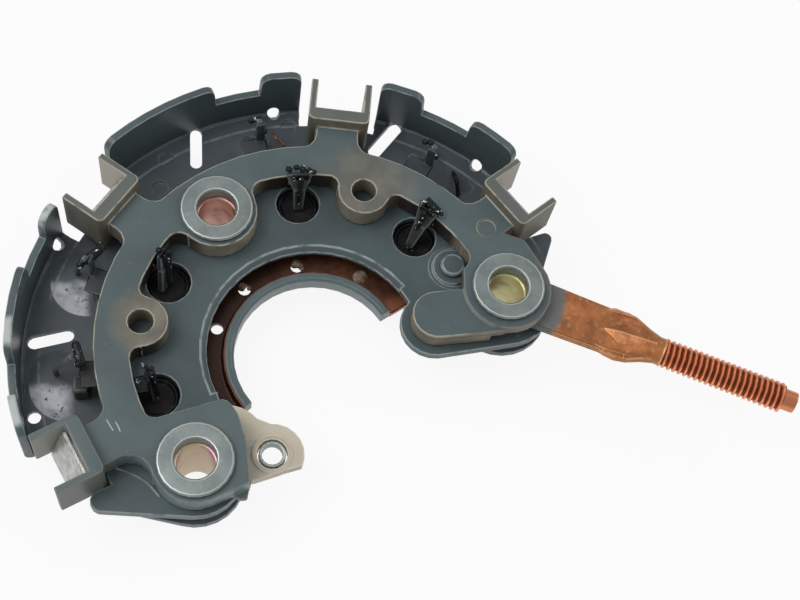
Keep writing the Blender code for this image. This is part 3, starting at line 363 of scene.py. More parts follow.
def moulded(name, look):
    """Beige moulding, grey with overspray on top, less so round the holes and on the guides; painted shade on
    its bare sides and in a groove on the foot, and a painted highlight along its edges.
    """
    skin = Skin(name, look.moulding, 0.5)
    fine = skin.noise(1400.0, 4.0)
    blotch = skin.noise(160.0, 4.0)
    dust = skin.step(skin.facing() + (blotch - 0.5) * 0.5, 0.45, 0.85)
    thin = skin.near(-31.0, -9.6, 4.5, 8.8) * 0.8 + skin.near(-2.6, 35.0, 4.0, 13.0) * 0.62
    guides = skin.over(skin.away(0, 0), 46.9, 47.9)
    first = skin.near(-33.0, -39.5, 12.0, 14.0)
    by_washer = skin.near(*LEFT_BUSHING, 12.0, 15.0)
    sprayed = (by_washer * 0.85 + first * 0.5).clamped()
    dust = (dust + sprayed).clamped() * (1 - thin.clamped()) * (1 - guides * (0.45 - first * 0.4))
    paint = skin.mottled(skin.noise(60.0), look.paint, 1.0, 1.32)
    paint = skin.mix(skin.spots(0.66, 0.74, 1000.0, 2.0) * 0.3, paint, shade(look.moulding, 0.7))
    # Bare moulding on the sides, darker than its beige, in part a painted shade
    bare = skin.mottled(blotch, look.moulding, 0.46, 0.82, 0.35)
    bare = skin.mix(guides * 0.75, bare, look.guide)
    bare = skin.mix(skin.mark("inner") * 0.85, bare, look.guide_inside)
    tone = skin.mix(dust, bare, paint)
    streaks = by_washer * skin.steep(0.2, 0.5) * skin.step(fine * 0.4 + blotch * 0.6, 0.35, 0.6)
    tone = skin.mix(streaks * 0.75, tone, shade(look.paint, 3.0))
    # Side faces darkened to brown-black beside the positive leads
    for x, y in DARKENED_SIDES:
        mottle = skin.near(x, y, 6.0, 9.5) * skin.steep(0.15, 0.4) * skin.step(blotch, 0.1, 0.4)
        tone = skin.mix(mottle * 0.96, tone, shade(look.resin_brown, 0.6))
    for x, y, reach, across_it in SCRATCHES:
        off = skin.beyond(x, y, across_it) + (skin.noise(500.0, 2.0) - 0.5) * 0.0006
        line = skin.band(off, -0.16, -0.06, 0.06, 0.16) * skin.near(x, y, reach - 0.3, reach)
        tone = skin.mix(line * 0.7, tone, look.bright_wear_and_highlight)
    bushed = (sprayed * 1.3 + skin.near(*RIGHT_BUSHING, 12.0, 15.0)).clamped()
    # Pale lines along the rounded edges: overspray thinned by wear, and a painted highlight
    wear_and_highlight = skin.mark("rim") * skin.spots(0.26, 0.52, 380.0) * (1 - first * 0.55) * (1 - bushed * 0.7)
    tone = skin.mix(wear_and_highlight * 0.85, tone, look.moulding_wear_and_highlight)
    # Painted shade of a groove round the foot: a dark line, with a dent in the bump
    seam = skin.band(skin.level(), 10.35, 10.5, 10.65, 10.8)
    seam = seam * skin.near(22.0, 12.0, 12.0, 13.0) * skin.steep(0.2, 0.4)
    tone = skin.mix(seam * 0.85, tone, shade(look.moulding, 0.12))
    skin.set(Base_Color=tone, Roughness=0.5 - dust * 0.12 + (fine - 0.5) * 0.1)
    skin.bump(fine * 0.3 + blotch * 0.5 - seam * 3.0, 0.2, 0.0003)
    return skin


# Places beside the positive leads where the plate's side faces are darkened to brown-black
DARKENED_SIDES = ((-16.6, 31.6), (10.5, 34.6), (-34.5, 4.3), (-26.6, -19.4))

# Scratches on the plate: middle, half length and the direction across
SCRATCHES = (
    (-29.0, -31.4, 1.4, (0.59, 0.81, 0.0)),
    (-27.5, -31.1, 1.2, (0.64, 0.77, 0.0)),
)


def pale(name, look):
    skin = Skin(name, look.pale, 0.55)
    fine = skin.noise(1200.0, 4.0)
    blotch = skin.noise(140.0, 3.0)
    tone = skin.mottled(blotch, look.pale, 0.82, 1.0, 0.3, 0.75)
    dust = skin.spots(0.5, 0.75, 240.0, 4.0) * skin.near(*LEFT_BUSHING, 9.0, 15.0)
    tone = skin.mix(dust * 0.7, tone, shade(look.paint, 1.6))
    # Lighter rounded edges and slopes: a painted highlight
    tone = skin.mix(skin.mark("rim") * 0.5, tone, shade(look.pale, 1.35))
    skin.set(Base_Color=tone)
    skin.bump(fine * 0.6 + blotch, 0.25, 0.0003)
    return skin


def steel(name, look):
    """Zinc-plated steel, greenish grey, with painted highlights on its edges."""
    skin = Skin(name, look.steel, 0.38, 0.7)
    fine = skin.noise(1500.0, 4.0)
    blotch = skin.noise(220.0, 4.0)
    tone = skin.mottled(blotch, look.steel, 0.82, 1.08)
    tone = skin.mix(skin.step(fine, 0.6, 0.7) * 0.4, tone, shade(look.steel, 1.6))
    # Painted highlights on the rounded edges
    skin.set(Base_Color=skin.mix(skin.mark("rim") * 0.85, tone, look.bright_wear_and_highlight),
                Roughness=0.40 + (fine - 0.5) * 0.25)
    skin.bump(fine * 0.4 + blotch, 0.15, 0.0003)
    return skin


def passivated(name, look):
    """Iridescent yellow passivation, which has its own drift of colours in each sleeve, with painted
    reflection low in the bore and painted shade up under the washer.
    """
    skin = Skin(name, look.passivated, 0.3, 0.55)
    # Colour drifts with height: pale low in the bore and darker up high, with painted reflection and painted
    # shade
    drift = skin.noise(150.0, 2.0) + (skin.level() - 4.0 * MM) * 22.0
    tones = []
    for stops in SLEEVE_DRIFTS:
        tones.append(skin.node("ValToRGB", {"stops": stops}, {"Fac": drift}))
    tone = skin.mix(skin.near(*MIDDLE_BUSHING, 8.0, 9.0), tones[0], tones[1])
    tone = skin.mix(skin.near(*RIGHT_BUSHING, 8.0, 9.0), tone, tones[2])
    skin.set(Base_Color=tone, Roughness=0.24 + skin.noise(500.0) * 0.2)
    skin.bump(skin.noise(900.0), 0.1, 0.0002)
    return skin


# The colours of the left, middle and right sleeves' passivation, from low in the bore to high up: the pale
# low end is in part a painted reflection, and the dark high end of the middle and right ones is painted shade
# under the washer
SLEEVE_DRIFTS = (
    ((0.25, (0.88, 0.70, 0.52)), (0.45, (0.80, 0.68, 0.44)),
     (0.60, (0.80, 0.56, 0.44)), (0.72, (0.62, 0.32, 0.44))),
    ((0.25, (0.84, 0.60, 0.44)), (0.42, (0.78, 0.48, 0.36)),
     (0.58, (0.64, 0.34, 0.28)), (0.72, (0.20, 0.09, 0.05))),
    ((0.25, (0.92, 0.84, 0.58)), (0.42, (0.86, 0.80, 0.44)),
     (0.58, (0.66, 0.64, 0.30)), (0.72, (0.24, 0.11, 0.06))),
)


def copper(name, look):
    """Bare copper of the bolt, brick red, oversprayed where it leaves the moulding."""
    skin = Skin(name, look.copper, 0.34, 0.75)
    mottle = skin.noise(260.0, 5.0)
    fine = skin.noise(1500.0, 4.0)
    tone = skin.mottled(mottle, look.copper, 0.6)
    tone = skin.mix(skin.spots(0.52, 0.72, 800.0, 3.0) * 0.4, tone, look.golden)
    # Golden lines on the rounded edges: copper polished by wear, and a painted highlight
    tone = skin.mix(skin.mark("rim") * 0.7, tone, look.golden)
    spray = skin.near(*RIGHT_BUSHING, 9.5, 15.5)
    spray = skin.step(spray + (skin.noise(420.0, 4.0) - 0.5) * 0.7, 0.34, 0.7)
    tone = skin.mix(spray * 0.9, tone, shade(look.paint, 1.5))
    skin.set(Base_Color=tone, Metallic=0.75 - spray * 0.7, Roughness=0.30 + mottle * 0.28 + spray * 0.1)
    skin.bump(mottle * 0.6 + fine * 0.3, 0.35, 0.0005)
    return skin


def burred(name, look):
    """Rough copper pushed up beside the drain holes."""
    skin = Skin(name, look.ring_copper, 0.6, 0.1)
    blotch = skin.noise(600.0, 3.0)
    share = skin.step(blotch, 0.3, 0.7)
    tone = skin.mix(share, shade(look.ring_copper, 0.7), shade(look.moulding, 0.9))
    return skin.dressed(tone, blotch, 0.5, 0.2, 0.4, 0.0004)


def threaded(name, look):
    """The bolt's thread: a painted highlight along its crests and painted shade in its roots."""
    skin = Skin(name, look.thread, 0.3, 0.9)
    mottle = skin.noise(300.0, 4.0)
    tone = skin.mottled(mottle, look.thread, 0.75)
    crest = skin.mark("crest")
    tone = skin.mix(crest * crest, tone, shade(look.thread, 1.45))
    tone = skin.mix(crest, shade(look.thread, 0.42), tone)
    return skin.dressed(tone, mottle, 0.20, 0.22, 0.2, 0.0003)


def tinned(name, look):
    skin = Skin(name, look.tin, 0.25, 0.8)
    fine = skin.noise(700.0, 4.0)
    tone = skin.mottled(fine, look.tin, 0.6)
    return skin.dressed(tone, fine, 0.2, 0.3, 0.3, 0.0004)


def resin(name, look):
    """Brown-black potting of the diodes, with a thin lighter rim that is a painted highlight."""
    skin = Skin(name, look.resin, 0.3, Specular_IOR_Level=0.25)
    blotch = skin.noise(350.0, 4.0)
    tone = skin.mix(skin.step(blotch, 0.45, 0.75), look.resin, look.resin_brown)
    # Painted highlight on the rounded rim
    edges = skin.mark("rim") * skin.step(blotch, 0.5, 0.7)
    tone = skin.mix(edges * 0.25, tone, shade(look.wear_and_highlight, 0.4))
    return skin.dressed(tone, blotch, 0.45, 0.3, 0.4, 0.0006)


def varnish(name, look):
    """Glossy black varnish with small pale glints, which are painted highlights and specks of solder, and
    reddish brown showing through.
    """
    skin = Skin(name, look.varnish, 0.2, Coat_Weight=0.22, Coat_Roughness=0.12, Specular_IOR_Level=0.2)
    blotch = skin.noise(800.0, 3.0)
    # Pale glints: painted highlights and specks of solder
    glint = skin.spots(0.64, 0.68, 1100.0, 2.0)
    brown = skin.spots(0.6, 0.7, 600.0, 2.0) * 0.5
    tone = skin.mix(brown, look.varnish, look.resin_brown)
    tone = skin.mix(glint * 0.9, tone, shade(look.glint, 1.5))
    return skin.dressed(tone, blotch, 0.35, 0.3, 0.5, 0.0006)


def sleeved(name, look):
    """Dull dark grey insulation round the leads."""
    skin = Skin(name, look.insulation, 0.5)
    blotch = skin.noise(420.0, 3.0)
    tone = skin.mottled(blotch, look.insulation, 0.6, 1.3)
    # Lighter rounded edges: a painted highlight
    tone = skin.mix(skin.mark("rim") * 0.4, tone, shade(look.wear_and_highlight, 0.6))
    return skin.dressed(tone, blotch, 0.4, 0.2, 0.3, 0.0004)


def shadowed(name, look):
    """Dark paint on the posts, darkened further as painted shade, brownish beside the lower ones, with a
    painted highlight on the edges.
    """
    skin = Skin(name, look.floor_dark, 0.45)
    blotch = skin.noise(300.0, 3.0)
    tone = skin.mix(skin.step(blotch, 0.3, 0.7), shade(look.floor_dark, 0.5), shade(look.paint, 0.42))
    brown = skin.near(-39.2, -24.3, 5.0, 7.0) * skin.step(blotch, 0.3, 0.55)
    tone = skin.mix(brown * 0.7, tone, look.resin_brown)
    # Painted highlight on the rounded edges
    edges = skin.mark("rim") * skin.step(blotch, 0.4, 0.6)
    tone = skin.mix(edges * 0.25, tone, look.wear_and_highlight)
    return skin.dressed(tone, blotch, 0.4, 0.2, 0.3, 0.0004)


def reddened(name, look):
    """A bit of bare copper wire."""
    skin = Skin(name, look.wire, 0.3, 0.5)
    blotch = skin.noise(900.0, 3.0)
    tone = skin.mottled(blotch, look.wire, 0.35, 1.0, 0.35, 0.65)
    return skin.dressed(tone, blotch, 0.25, 0.2, 0.3, 0.0003)


FINISHES = {
    "painted_copper_sink": painted,
    "sink_floor": floor_painted,
    "worn_fold": fold_highlighted,
    "moulded_plate": moulded,
    "pale_moulding": pale,
    "washer_steel": steel,
    "passivated_steel": passivated,
    "bare_copper": copper,
    "burr_copper": burred,
    "copper_thread": threaded,
    "copper_wire": reddened,
    "tinned_strip": tinned,
    "diode_resin": resin,
    "varnished_wire": varnish,
    "lead_insulation": sleeved,
    "post_paint": shadowed,
}


def finish(name, context):
    """The material of a finish, made the first time that it is asked for."""
    found = bpy.data.materials.get(name + "_look")
    if found:
        return found
    return FINISHES[name](name + "_look", context.scene.rectifier_look).material


# Settings


def tint(name, description, default):
    return FloatVectorProperty(name=name, description=description, default=default, size=3,
                               subtype="COLOR", min=0.0, max=1.0)


class LookSettings(PropertyGroup):
    paint: tint("Paint", "Slate grey paint on both heat sinks", (0.076, 0.104, 0.107))
    paint_roughness: FloatProperty(name="Paint roughness", description="How dull the paint is", default=0.30,
                                   min=0.0, max=1.0, subtype="FACTOR")
    # Also the colour of painted highlights along edges and folds
    wear_and_highlight: tint("Worn edge", "Thin paint along the edges of the sinks", (0.34, 0.38, 0.38))
    floor_dark: tint("Floor paint", "Dark paint on the negative floor", (0.056, 0.068, 0.078))
    # A painted sheen, laid in patches on the low floor
    floor_sheen: tint("Floor sheen", "Bluish sheen on the negative floor", (0.088, 0.104, 0.122))
    # Also stands for painted glints: reflections on the floor and highlights on varnish
    glint: tint("Glint", "Pale spots on wet paint and solder", (0.66, 0.67, 0.73))
    # Kept dark in part as painted shade under the positive sink's edge
    ring_copper: tint("Ring copper", "Bare copper round the collar", (0.150, 0.056, 0.028))
    moulding: tint("Moulding", "Beige moulding of the terminal plate", (0.33, 0.29, 0.21))
    # Also the colour of painted highlights along the moulding's edges
    moulding_wear_and_highlight: tint("Moulding edge", "Beige line along the moulding's edges", (0.46, 0.43, 0.34))
    guide: tint("Guide", "Brownish dust on the lead guides", (0.150, 0.140, 0.110))
    guide_inside: tint("Guide inside", "Clean faces inside the lead guides", (0.50, 0.47, 0.39))
    pale: tint("Pale moulding", "Moulding of the lug and bushes", (0.66, 0.58, 0.46))
    steel: tint("Washer steel", "Zinc-plated washers", (0.29, 0.33, 0.315))
    # Also the colour of painted highlights on washers and wall tabs, and of scratches on the plate
    bright_wear_and_highlight: tint("Bright edge", "Rubbed edges of the washers", (0.62, 0.65, 0.60))
    passivated: tint("Passivated steel", "Yellow passivated sleeves", (0.50, 0.42, 0.24))
    copper: tint("Copper", "Bare copper of the terminal bolt", (0.60, 0.225, 0.085))
    # Also the colour of painted highlights along the bolt's edges
    golden: tint("Golden copper", "Rubbed copper along the bolt's edges", (0.84, 0.46, 0.21))
    thread: tint("Thread copper", "Copper of the terminal bolt's thread", (0.66, 0.24, 0.115))
    wire: tint("Wire copper", "A bit of bare wire", (0.62, 0.17, 0.05))
    tin: tint("Tin", "Tinned strips in the lead guides", (0.62, 0.61, 0.57))
    resin: tint("Resin", "Potting of the diodes", (0.005, 0.005, 0.006))
    resin_brown: tint("Brown resin", "Brown patches in the potting", (0.024, 0.014, 0.011))
    insulation: tint("Insulation", "Dull insulation round the leads", (0.022, 0.026, 0.027))
    varnish: tint("Varnish", "Black varnish on leads and hooks", (0.007, 0.008, 0.009))


def length_setting(name, description, default):
    return FloatProperty(name=name, description=description, default=default, min=0.0, unit="LENGTH")


class EdgeSettings(PropertyGroup):
    plate_edge: length_setting("Plate edge", "Width of the rounded edges of the pressed plates", 0.00026)
    moulding_edge: length_setting("Moulding edge", "Width of the rounded edges of the mouldings", 0.00026)
    edge_steps: IntProperty(name="Edge steps", description="How many faces make up a rounded edge", default=2,
                            min=1, max=6)


class BoltSettings(PropertyGroup):
    turns: IntProperty(name="Turns", description="Turns of the bolt's thread", default=22, min=4, max=40)
    length: length_setting("Thread length", "Length of the thread", 0.0255)
    crest: length_setting("Crest radius", "Radius over the crests", 0.0030)
    root: length_setting("Root radius", "Radius in the roots", 0.00245)


class StageSettings(PropertyGroup):
    floor: tint("Floor", "Colour of the floor", (0.86, 0.86, 0.86))
    key_power: FloatProperty(name="Key lamp", description="Power of the large lamp overhead", default=2.6,
                             min=0.0, unit="POWER")
    world_strength: FloatProperty(name="Surround", description="Strength of the pale surround", default=0.5,
                                  min=0.0, subtype="FACTOR")


# Meshes


# Points nearer than this are one point, in metres
SAME = 1e-6


def node_copy(node):
    """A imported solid's mesh, merged and with its flat faces whole again."""
    bm = bmesh.new()
    bm.from_mesh(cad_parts[node].data)
    bmesh.ops.remove_doubles(bm, verts=bm.verts, dist=SAME)
    bmesh.ops.dissolve_limit(bm, angle_limit=math.radians(0.5), verts=bm.verts, edges=bm.edges)
    bmesh.ops.remove_doubles(bm, verts=bm.verts, dist=0.05 * MM)
    return bm


def mark_corners(faces, layer, share):
    """Sets a layer on the corners of faces to what a function of the corner gives."""
    for face in faces:
        for loop in face.loops:
            loop[layer] = share(loop)


def rounded(bm, width, steps, angle=32.0):
    """Rounds the sharp edges, marks the new faces as rim and mends what the bevel throws out."""
    rim = bm.loops.layers.float.get("rim") or bm.loops.layers.float.new("rim")
    many_sided = [f for f in bm.faces if len(f.verts) > 4]
    bmesh.ops.triangulate(bm, faces=many_sided, quad_method="BEAUTY", ngon_method="BEAUTY")
    before = BVHTree.FromBMesh(bm)
    home = bm.verts.layers.float_vector.new("home")
    for v in bm.verts:
        v[home] = v.co
    sharp = [e for e in bm.edges if len(e.link_faces) == 2 and e.calc_face_angle(0.0) > math.radians(angle)]
    made = bmesh.ops.bevel(bm, geom=sharp, offset=width, offset_type="OFFSET", segments=steps, profile=0.5,
                           affect="EDGES", clamp_overlap=False, material=-1, loop_slide=False)
    mark_corners(made["faces"], rim, lambda loop: 1.0)
    for v in bm.verts:
        thrown = v.co - v[home]
        if thrown.length > THROWN * width:
            v.co = v[home] + thrown.normalized() * (PULLED_TO * width)
        nearest, _, _, distance = before.find_nearest(v.co)
        if distance > ASTRAY * width:
            v.co = nearest
    bm.verts.layers.float_vector.remove(home)
    astray = stray_faces(bm, before, ASTRAY * width)
    if astray:
        bmesh.ops.delete(bm, geom=astray, context="FACES_ONLY")
        bmesh.ops.delete(bm, geom=[e for e in bm.edges if not e.link_faces], context="EDGES")
        filled = bmesh.ops.holes_fill(bm, edges=[e for e in bm.edges if e.is_boundary], sides=0)["faces"]
        bmesh.ops.triangulate(bm, faces=filled, quad_method="BEAUTY", ngon_method="BEAUTY")


# As shares of an edge's width: how far a corner may be moved by the bevel, how far it goes if it was thrown
# further, and how far a point may lie from the form
THROWN = 3
PULLED_TO = 1.2
ASTRAY = 0.8


def stray_faces(bm, form, most):
    """Faces that have an edge away from the form that they were rounded from."""
    stray = set()
    for edge in bm.edges:
        if edge.calc_length() > 3 * most:
            first, last = (v.co for v in edge.verts)
            spots = [first.lerp(last, share) for share in (0.2, 0.35, 0.5, 0.65, 0.8)]
            if any(form.find_nearest(spot)[3] > most for spot in spots):
                stray.update(edge.link_faces)
    return list(stray)


def placed(context, name, data):
    """Adds an object that holds the data."""
    holder = bpy.data.objects.new(name, data)
    context.scene.collection.objects.link(holder)
    return holder


def finished(context, name, bm, slot, *nodes, look=None, smooth=40.0):
    """Links a bmesh as a piece of the object, with its finish, on the one body."""
    mesh = bpy.data.meshes.new(name)
    bm.to_mesh(mesh)
    bm.free()
    piece = placed(context, name, mesh)
    mesh.materials.append(finish(look or slot, context))
    mesh.shade_smooth()
    mesh.set_sharp_from_angle(angle=math.radians(smooth))
    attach(piece, "root")
    if nodes:
        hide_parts(*nodes)
    return piece


def weighted(piece):
    """Keeps broad faces flat beside their rounded edges."""
    modifier = piece.modifiers.new("face_weight", "WEIGHTED_NORMAL")
    modifier.keep_sharp = True
    return piece


def edged(context, node, slot, share=1.0, steps=None, look=None, setting="plate_edge"):
    """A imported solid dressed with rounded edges, whose width is a share of one of the settings."""
    edge = context.scene.rectifier_edges
    bm = node_copy(node)
    rounded(bm, getattr(edge, setting) * share, steps or edge.edge_steps)
    return weighted(finished(context, node + "_dressed", bm, slot, node, look=look))


def cut_off(bm, place, outward):
    """Cuts away what lies past a plane and closes the cut."""
    geom = bm.verts[:] + bm.edges[:] + bm.faces[:]
    bmesh.ops.bisect_plane(bm, geom=geom, plane_co=place, plane_no=outward, clear_outer=True)
    ring = [e for e in bm.edges if e.is_boundary and abs((e.verts[0].co - place).dot(outward)) < SAME]
    bmesh.ops.holes_fill(bm, edges=ring, sides=0)


def block(bm, corners, low, high):
    """An upright block on the given corners, in millimetres."""
    face = bm.faces.new([bm.verts.new(at(x, y, low)) for x, y in corners])
    made = bmesh.ops.extrude_face_region(bm, geom=[face])
    top = [v for v in made["geom"] if isinstance(v, bmesh.types.BMVert)]
    bmesh.ops.translate(bm, verts=top, vec=Vector((0, 0, (high - low) * MM)))
    bmesh.ops.recalc_face_normals(bm, faces=bm.faces)


def tapered(bm, start, end, first_width, last_width, first_depth, last_depth, side):
    """A strip from start to end whose section changes on the way; side is the way that its width lies."""
    along = (end - start).normalized()
    side = (side - along * side.dot(along)).normalized()
    deep = along.cross(side)
    verts = bmesh.ops.create_cube(bm, size=1.0)["verts"]
    for v in verts:
        last = v.co.z > 0
        width = (last_width if last else first_width) * MM
        depth = (last_depth if last else first_depth) * MM
        v.co = (end if last else start) + side * (v.co.x * width) + deep * (v.co.y * depth)
    return verts


def lump(bm, x, y, z, size, flat=1.0, seed=0.0):
    """An uneven blob of varnish or solder."""
    verts = bmesh.ops.create_icosphere(bm, subdivisions=2, radius=1.0)["verts"]
    for v in verts:
        swell = 1.0 + 0.35 * noise.noise(v.co * 1.6 + Vector((seed, x, y)))
        v.co = at(x, y, z) + Vector((v.co.x, v.co.y, v.co.z * flat)) * (swell * size * MM)


def capsule(bm, start, end, radius):
    """A drop of varnish stretched between two points."""
    verts = bmesh.ops.create_icosphere(bm, subdivisions=3, radius=radius * MM)["verts"]
    turn = (end - start).to_track_quat("Z", "Y")
    for v in verts:
        v.co = turn @ v.co + (end if v.co.z > 0 else start)


def turned(bm, x, y, profile, steps=48, slopes_lit=True):
    """A solid of revolution round an upright line; the profile gives radius and height in millimetres."""
    points = [bm.verts.new(at(x + r, y, z)) for r, z in profile]
    edges = [bm.edges.new(pair) for pair in zip(points, points[1:])]
    bmesh.ops.spin(bm, geom=points + edges, cent=at(x, y), axis=(0, 0, 1), angle=math.tau, steps=steps,
                   use_merge=True, use_duplicate=False)
    bmesh.ops.remove_doubles(bm, verts=bm.verts, dist=SAME)
    bmesh.ops.recalc_face_normals(bm, faces=bm.faces)
    rim = bm.loops.layers.float.get("rim") or bm.loops.layers.float.new("rim")
    # Sloped faces count as rim when slopes_lit, so that the finishes paint their highlight there
    mark_corners(bm.faces, rim, lambda loop: 1.0 if slopes_lit and abs(loop.face.normal.z) < 0.95 else 0.0)


def strand(context, name, points, thickness, slot, look=None):
    """A bent wire through points given in millimetres."""
    curve = bpy.data.curves.new(name, "CURVE")
    curve.dimensions = "3D"
    curve.bevel_depth = thickness * MM / 2
    curve.bevel_resolution = 3
    curve.use_fill_caps = True
    spline = curve.splines.new("NURBS")
    spline.points.add(len(points) - 1)
    for point, place in zip(spline.points, points):
        point.co = (*at(*place), 1.0)
    spline.order_u = 3
    spline.use_endpoint_u = True
    curve.materials.append(finish(look or slot, context))
    piece = placed(context, name, curve)
    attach(piece, "root")
    return piece


# Pieces


class RECTIFIER_OT_stage(Operator):
    """Floor, surround, lamps and camera"""
    bl_idname = "rectifier.stage"
    bl_label = "Stage"

    def execute(self, context):
        stage = context.scene.rectifier_stage
        bm = bmesh.new()
        bmesh.ops.create_grid(bm, x_segments=1, y_segments=1, size=3.0)
        mesh = bpy.data.meshes.new("floor")
        bm.to_mesh(mesh)
        bm.free()
        floor = placed(context, "floor", mesh)
        floor.location.z = CAD_BOX[0].z - FLOOR_GAP * MM
        mesh.materials.append(floor_material(stage))
        world = bpy.data.worlds.new("surround")
        world.use_nodes = True
        world.node_tree.nodes["Background"].inputs["Color"].default_value = (0.95, 0.97, 1.0, 1.0)
        world.node_tree.nodes["Background"].inputs["Strength"].default_value = stage.world_strength
        context.scene.world = world
        lamp(context, "key", Vector((-0.42, -0.12, 0.70)), 0.50, stage.key_power)
        lamp(context, "fill", Vector((0.55, 0.45, 0.50)), 0.45, stage.key_power * 0.4)
        camera(context)
        context.scene.view_settings.view_transform = "Standard"
        return {"FINISHED"}


def floor_material(stage):
    skin = Skin("floor_look", stage.floor, 0.9)
    glow = skin.node("Emission", None, {"Color": (1.0, 1.0, 1.0), "Strength": 1.0})
    seen = skin.node("LightPath", output="Is Camera Ray")
    mirrored = skin.node("LightPath", output="Is Glossy Ray")
    through = skin.node("LightPath", output="Is Transmission Ray")
    share = seen * 0.9 + (mirrored + through).clamped() * 0.7
    lit = Wire(skin, skin.shader.outputs[0])
    blend = skin.node("MixShader", None, {0: share.clamped(), 1: lit, 2: glow})
    skin.plug(skin.tree.nodes["Material Output"].inputs["Surface"], blend)
    return skin.material


def lamp(context, name, place, size, power):
    light = bpy.data.lights.new(name, "AREA")
    light.shape = "SQUARE"
    light.size = size
    light.energy = power
    holder = placed(context, name, light)
    holder.location = place
    holder.rotation_mode = "QUATERNION"
    holder.rotation_quaternion = (-place).to_track_quat("-Z", "Y")


def camera(context):
    """The camera that the photograph was taken with, as fitted to its round edges."""
    lens = bpy.data.cameras.new("camera")
    lens.sensor_width = 36.0
    lens.lens = lens.sensor_width * FOCAL_PIXELS / PHOTO_WIDTH
    lens.clip_start = 0.01
    lens.clip_end = 20.0
    turn = Matrix((CAMERA_RIGHT, CAMERA_UP, CAMERA_BACK)).transposed().to_4x4()
    turn.translation = at(*CAMERA_PLACE)
    holder = placed(context, "camera", lens)
    holder.matrix_world = turn
    context.scene.camera = holder


# Gap between the part and the floor, in millimetres
FLOOR_GAP = 0.2

# The photograph's width and focal length in pixels, the camera's place in millimetres, and its directions
PHOTO_WIDTH = 800.0
FOCAL_PIXELS = 1458.1
CAMERA_PLACE = (25.467, -108.403, 272.092)
CAMERA_RIGHT = (0.93218, 0.34381, 0.11333)
CAMERA_UP = (-0.35895, 0.83724, 0.41253)
CAMERA_BACK = (0.04695, -0.42523, 0.90387)


class RECTIFIER_OT_sinks(Operator):
    """The two painted heat sinks, the rivet and its ring, the arm's raised fold and the burrs"""
    bl_idname = "rectifier.sinks"
    bl_label = "Heat sinks"

    def execute(self, context):
        edge = context.scene.rectifier_edges
        bm = node_copy("negative_heat_sink")
        rounded(bm, edge.plate_edge * THIN_SHEET, edge.edge_steps)
        weighted(finished(context, "negative_heat_sink_dressed", bm, "painted_copper_sink",
                          "negative_heat_sink", look="sink_floor"))
        for node in ("positive_heat_sink", "rivet"):
            edged(context, node, "painted_copper_sink")
        bm = bmesh.new()
        crown = POSITIVE_TOP + 0.24
        turned(bm, *RIVET, ((4.35, POSITIVE_TOP), (4.5, crown), (4.75, crown), (4.95, POSITIVE_TOP)))
        finished(context, "rivet_ring", bm, "painted_copper_sink")
        # The fold raised on the arm, lighter with a painted highlight
        bead = [(x, y, POSITIVE_TOP) for x, y in ARM_BEAD]
        strand(context, "arm_bead", bead, 0.55, "painted_copper_sink", "worn_fold")
        bm = bmesh.new()
        for turn, reach, size in BURRS:
            x, y = math.cos(math.radians(turn)), math.sin(math.radians(turn))
            lump(bm, x * reach, y * reach, NEGATIVE_TOP, size, 0.55, turn)
            lump(bm, x * 19.9 + y * 0.9, y * 19.9 - x * 0.9, NEGATIVE_TOP, size * 0.5, 0.6, turn + 3)
        finished(context, "drain_burrs", bm, "bare_copper", look="burr_copper", smooth=80.0)
        return {"FINISHED"}


# The negative sink's thinner sheet, as a share of the plates' edge
THIN_SHEET = 0.65

# The sinks' tops, the rivet, and the route of the fold raised on the arm, in millimetres
NEGATIVE_TOP = 1.9
POSITIVE_TOP = 6.98
RIVET = (19.0, 27.2)
ARM_BEAD = ((-27.7, -37.6), (-25.3, -37.0), (-22.7, -37.0), (-20.2, -37.2), (-17.8, -38.0), (-15.7, -39.2))

# Burrs beside the drain holes: direction in degrees, radius and size in millimetres
BURRS = ((84.2, 20.5, 1.55), (122.0, 21.15, 1.15), (155.9, 21.2, 1.0))


class RECTIFIER_OT_plate(Operator):
    """The moulded terminal plate with its lead guides, its posts and the metal strips"""
    bl_idname = "rectifier.plate"
    bl_label = "Terminal plate"

    def execute(self, context):
        edge = context.scene.rectifier_edges
        bm = node_copy("terminal_plate")
        rounded(bm, edge.moulding_edge, edge.edge_steps)
        inner = bm.loops.layers.float.new("inner")
        for face in bm.faces:
            spot = face.calc_center_median() - AXIS
            reach = math.hypot(spot.x, spot.y)
            if reach < GUIDE_FOOT * MM or abs(face.normal.z) > 0.5:
                continue
            turn = min(GUIDES, key=lambda a: abs(math.degrees(math.atan2(spot.y, spot.x)) % 360 - a))
            middle_line = Vector((math.cos(math.radians(turn)), math.sin(math.radians(turn)), 0))
            off = Vector((spot.x, spot.y, 0))
            off -= middle_line * off.dot(middle_line)
            inward = face.normal.dot(off.normalized()) < -0.7
            if inward or face.normal.dot(middle_line) > 0.7 and off.length < GUIDE_HALF_WIDTH * MM:
                mark_corners([face], inner, lambda loop: 1.0)
        weighted(finished(context, "terminal_plate_dressed", bm, "moulded_plate", "terminal_plate"))
        for i in range(1, 5):
            edged(context, f"stator_terminal_{i}", "tinned_strip", 1 / 2, 1)
        bm = bmesh.new()
        for corners, low, high in POSTS:
            block(bm, corners, low, high)
        rounded(bm, POST_EDGE * MM, 3)
        weighted(finished(context, "lead_posts", bm, "moulded_plate", look="post_paint"))
        bm = bmesh.new()
        low, high = PLATE_TOP - 0.05, PLATE_TOP + 0.22
        turned(bm, *RING_MARK, ((1.6, low), (1.78, high), (2.1, high), (2.3, low)))
        finished(context, "plain_ring_mark", bm, "moulded_plate")
        return {"FINISHED"}


# The plate's top and the place of the plain ring on it, in millimetres
PLATE_TOP = 12.3
RING_MARK = (22.8, 35.9)

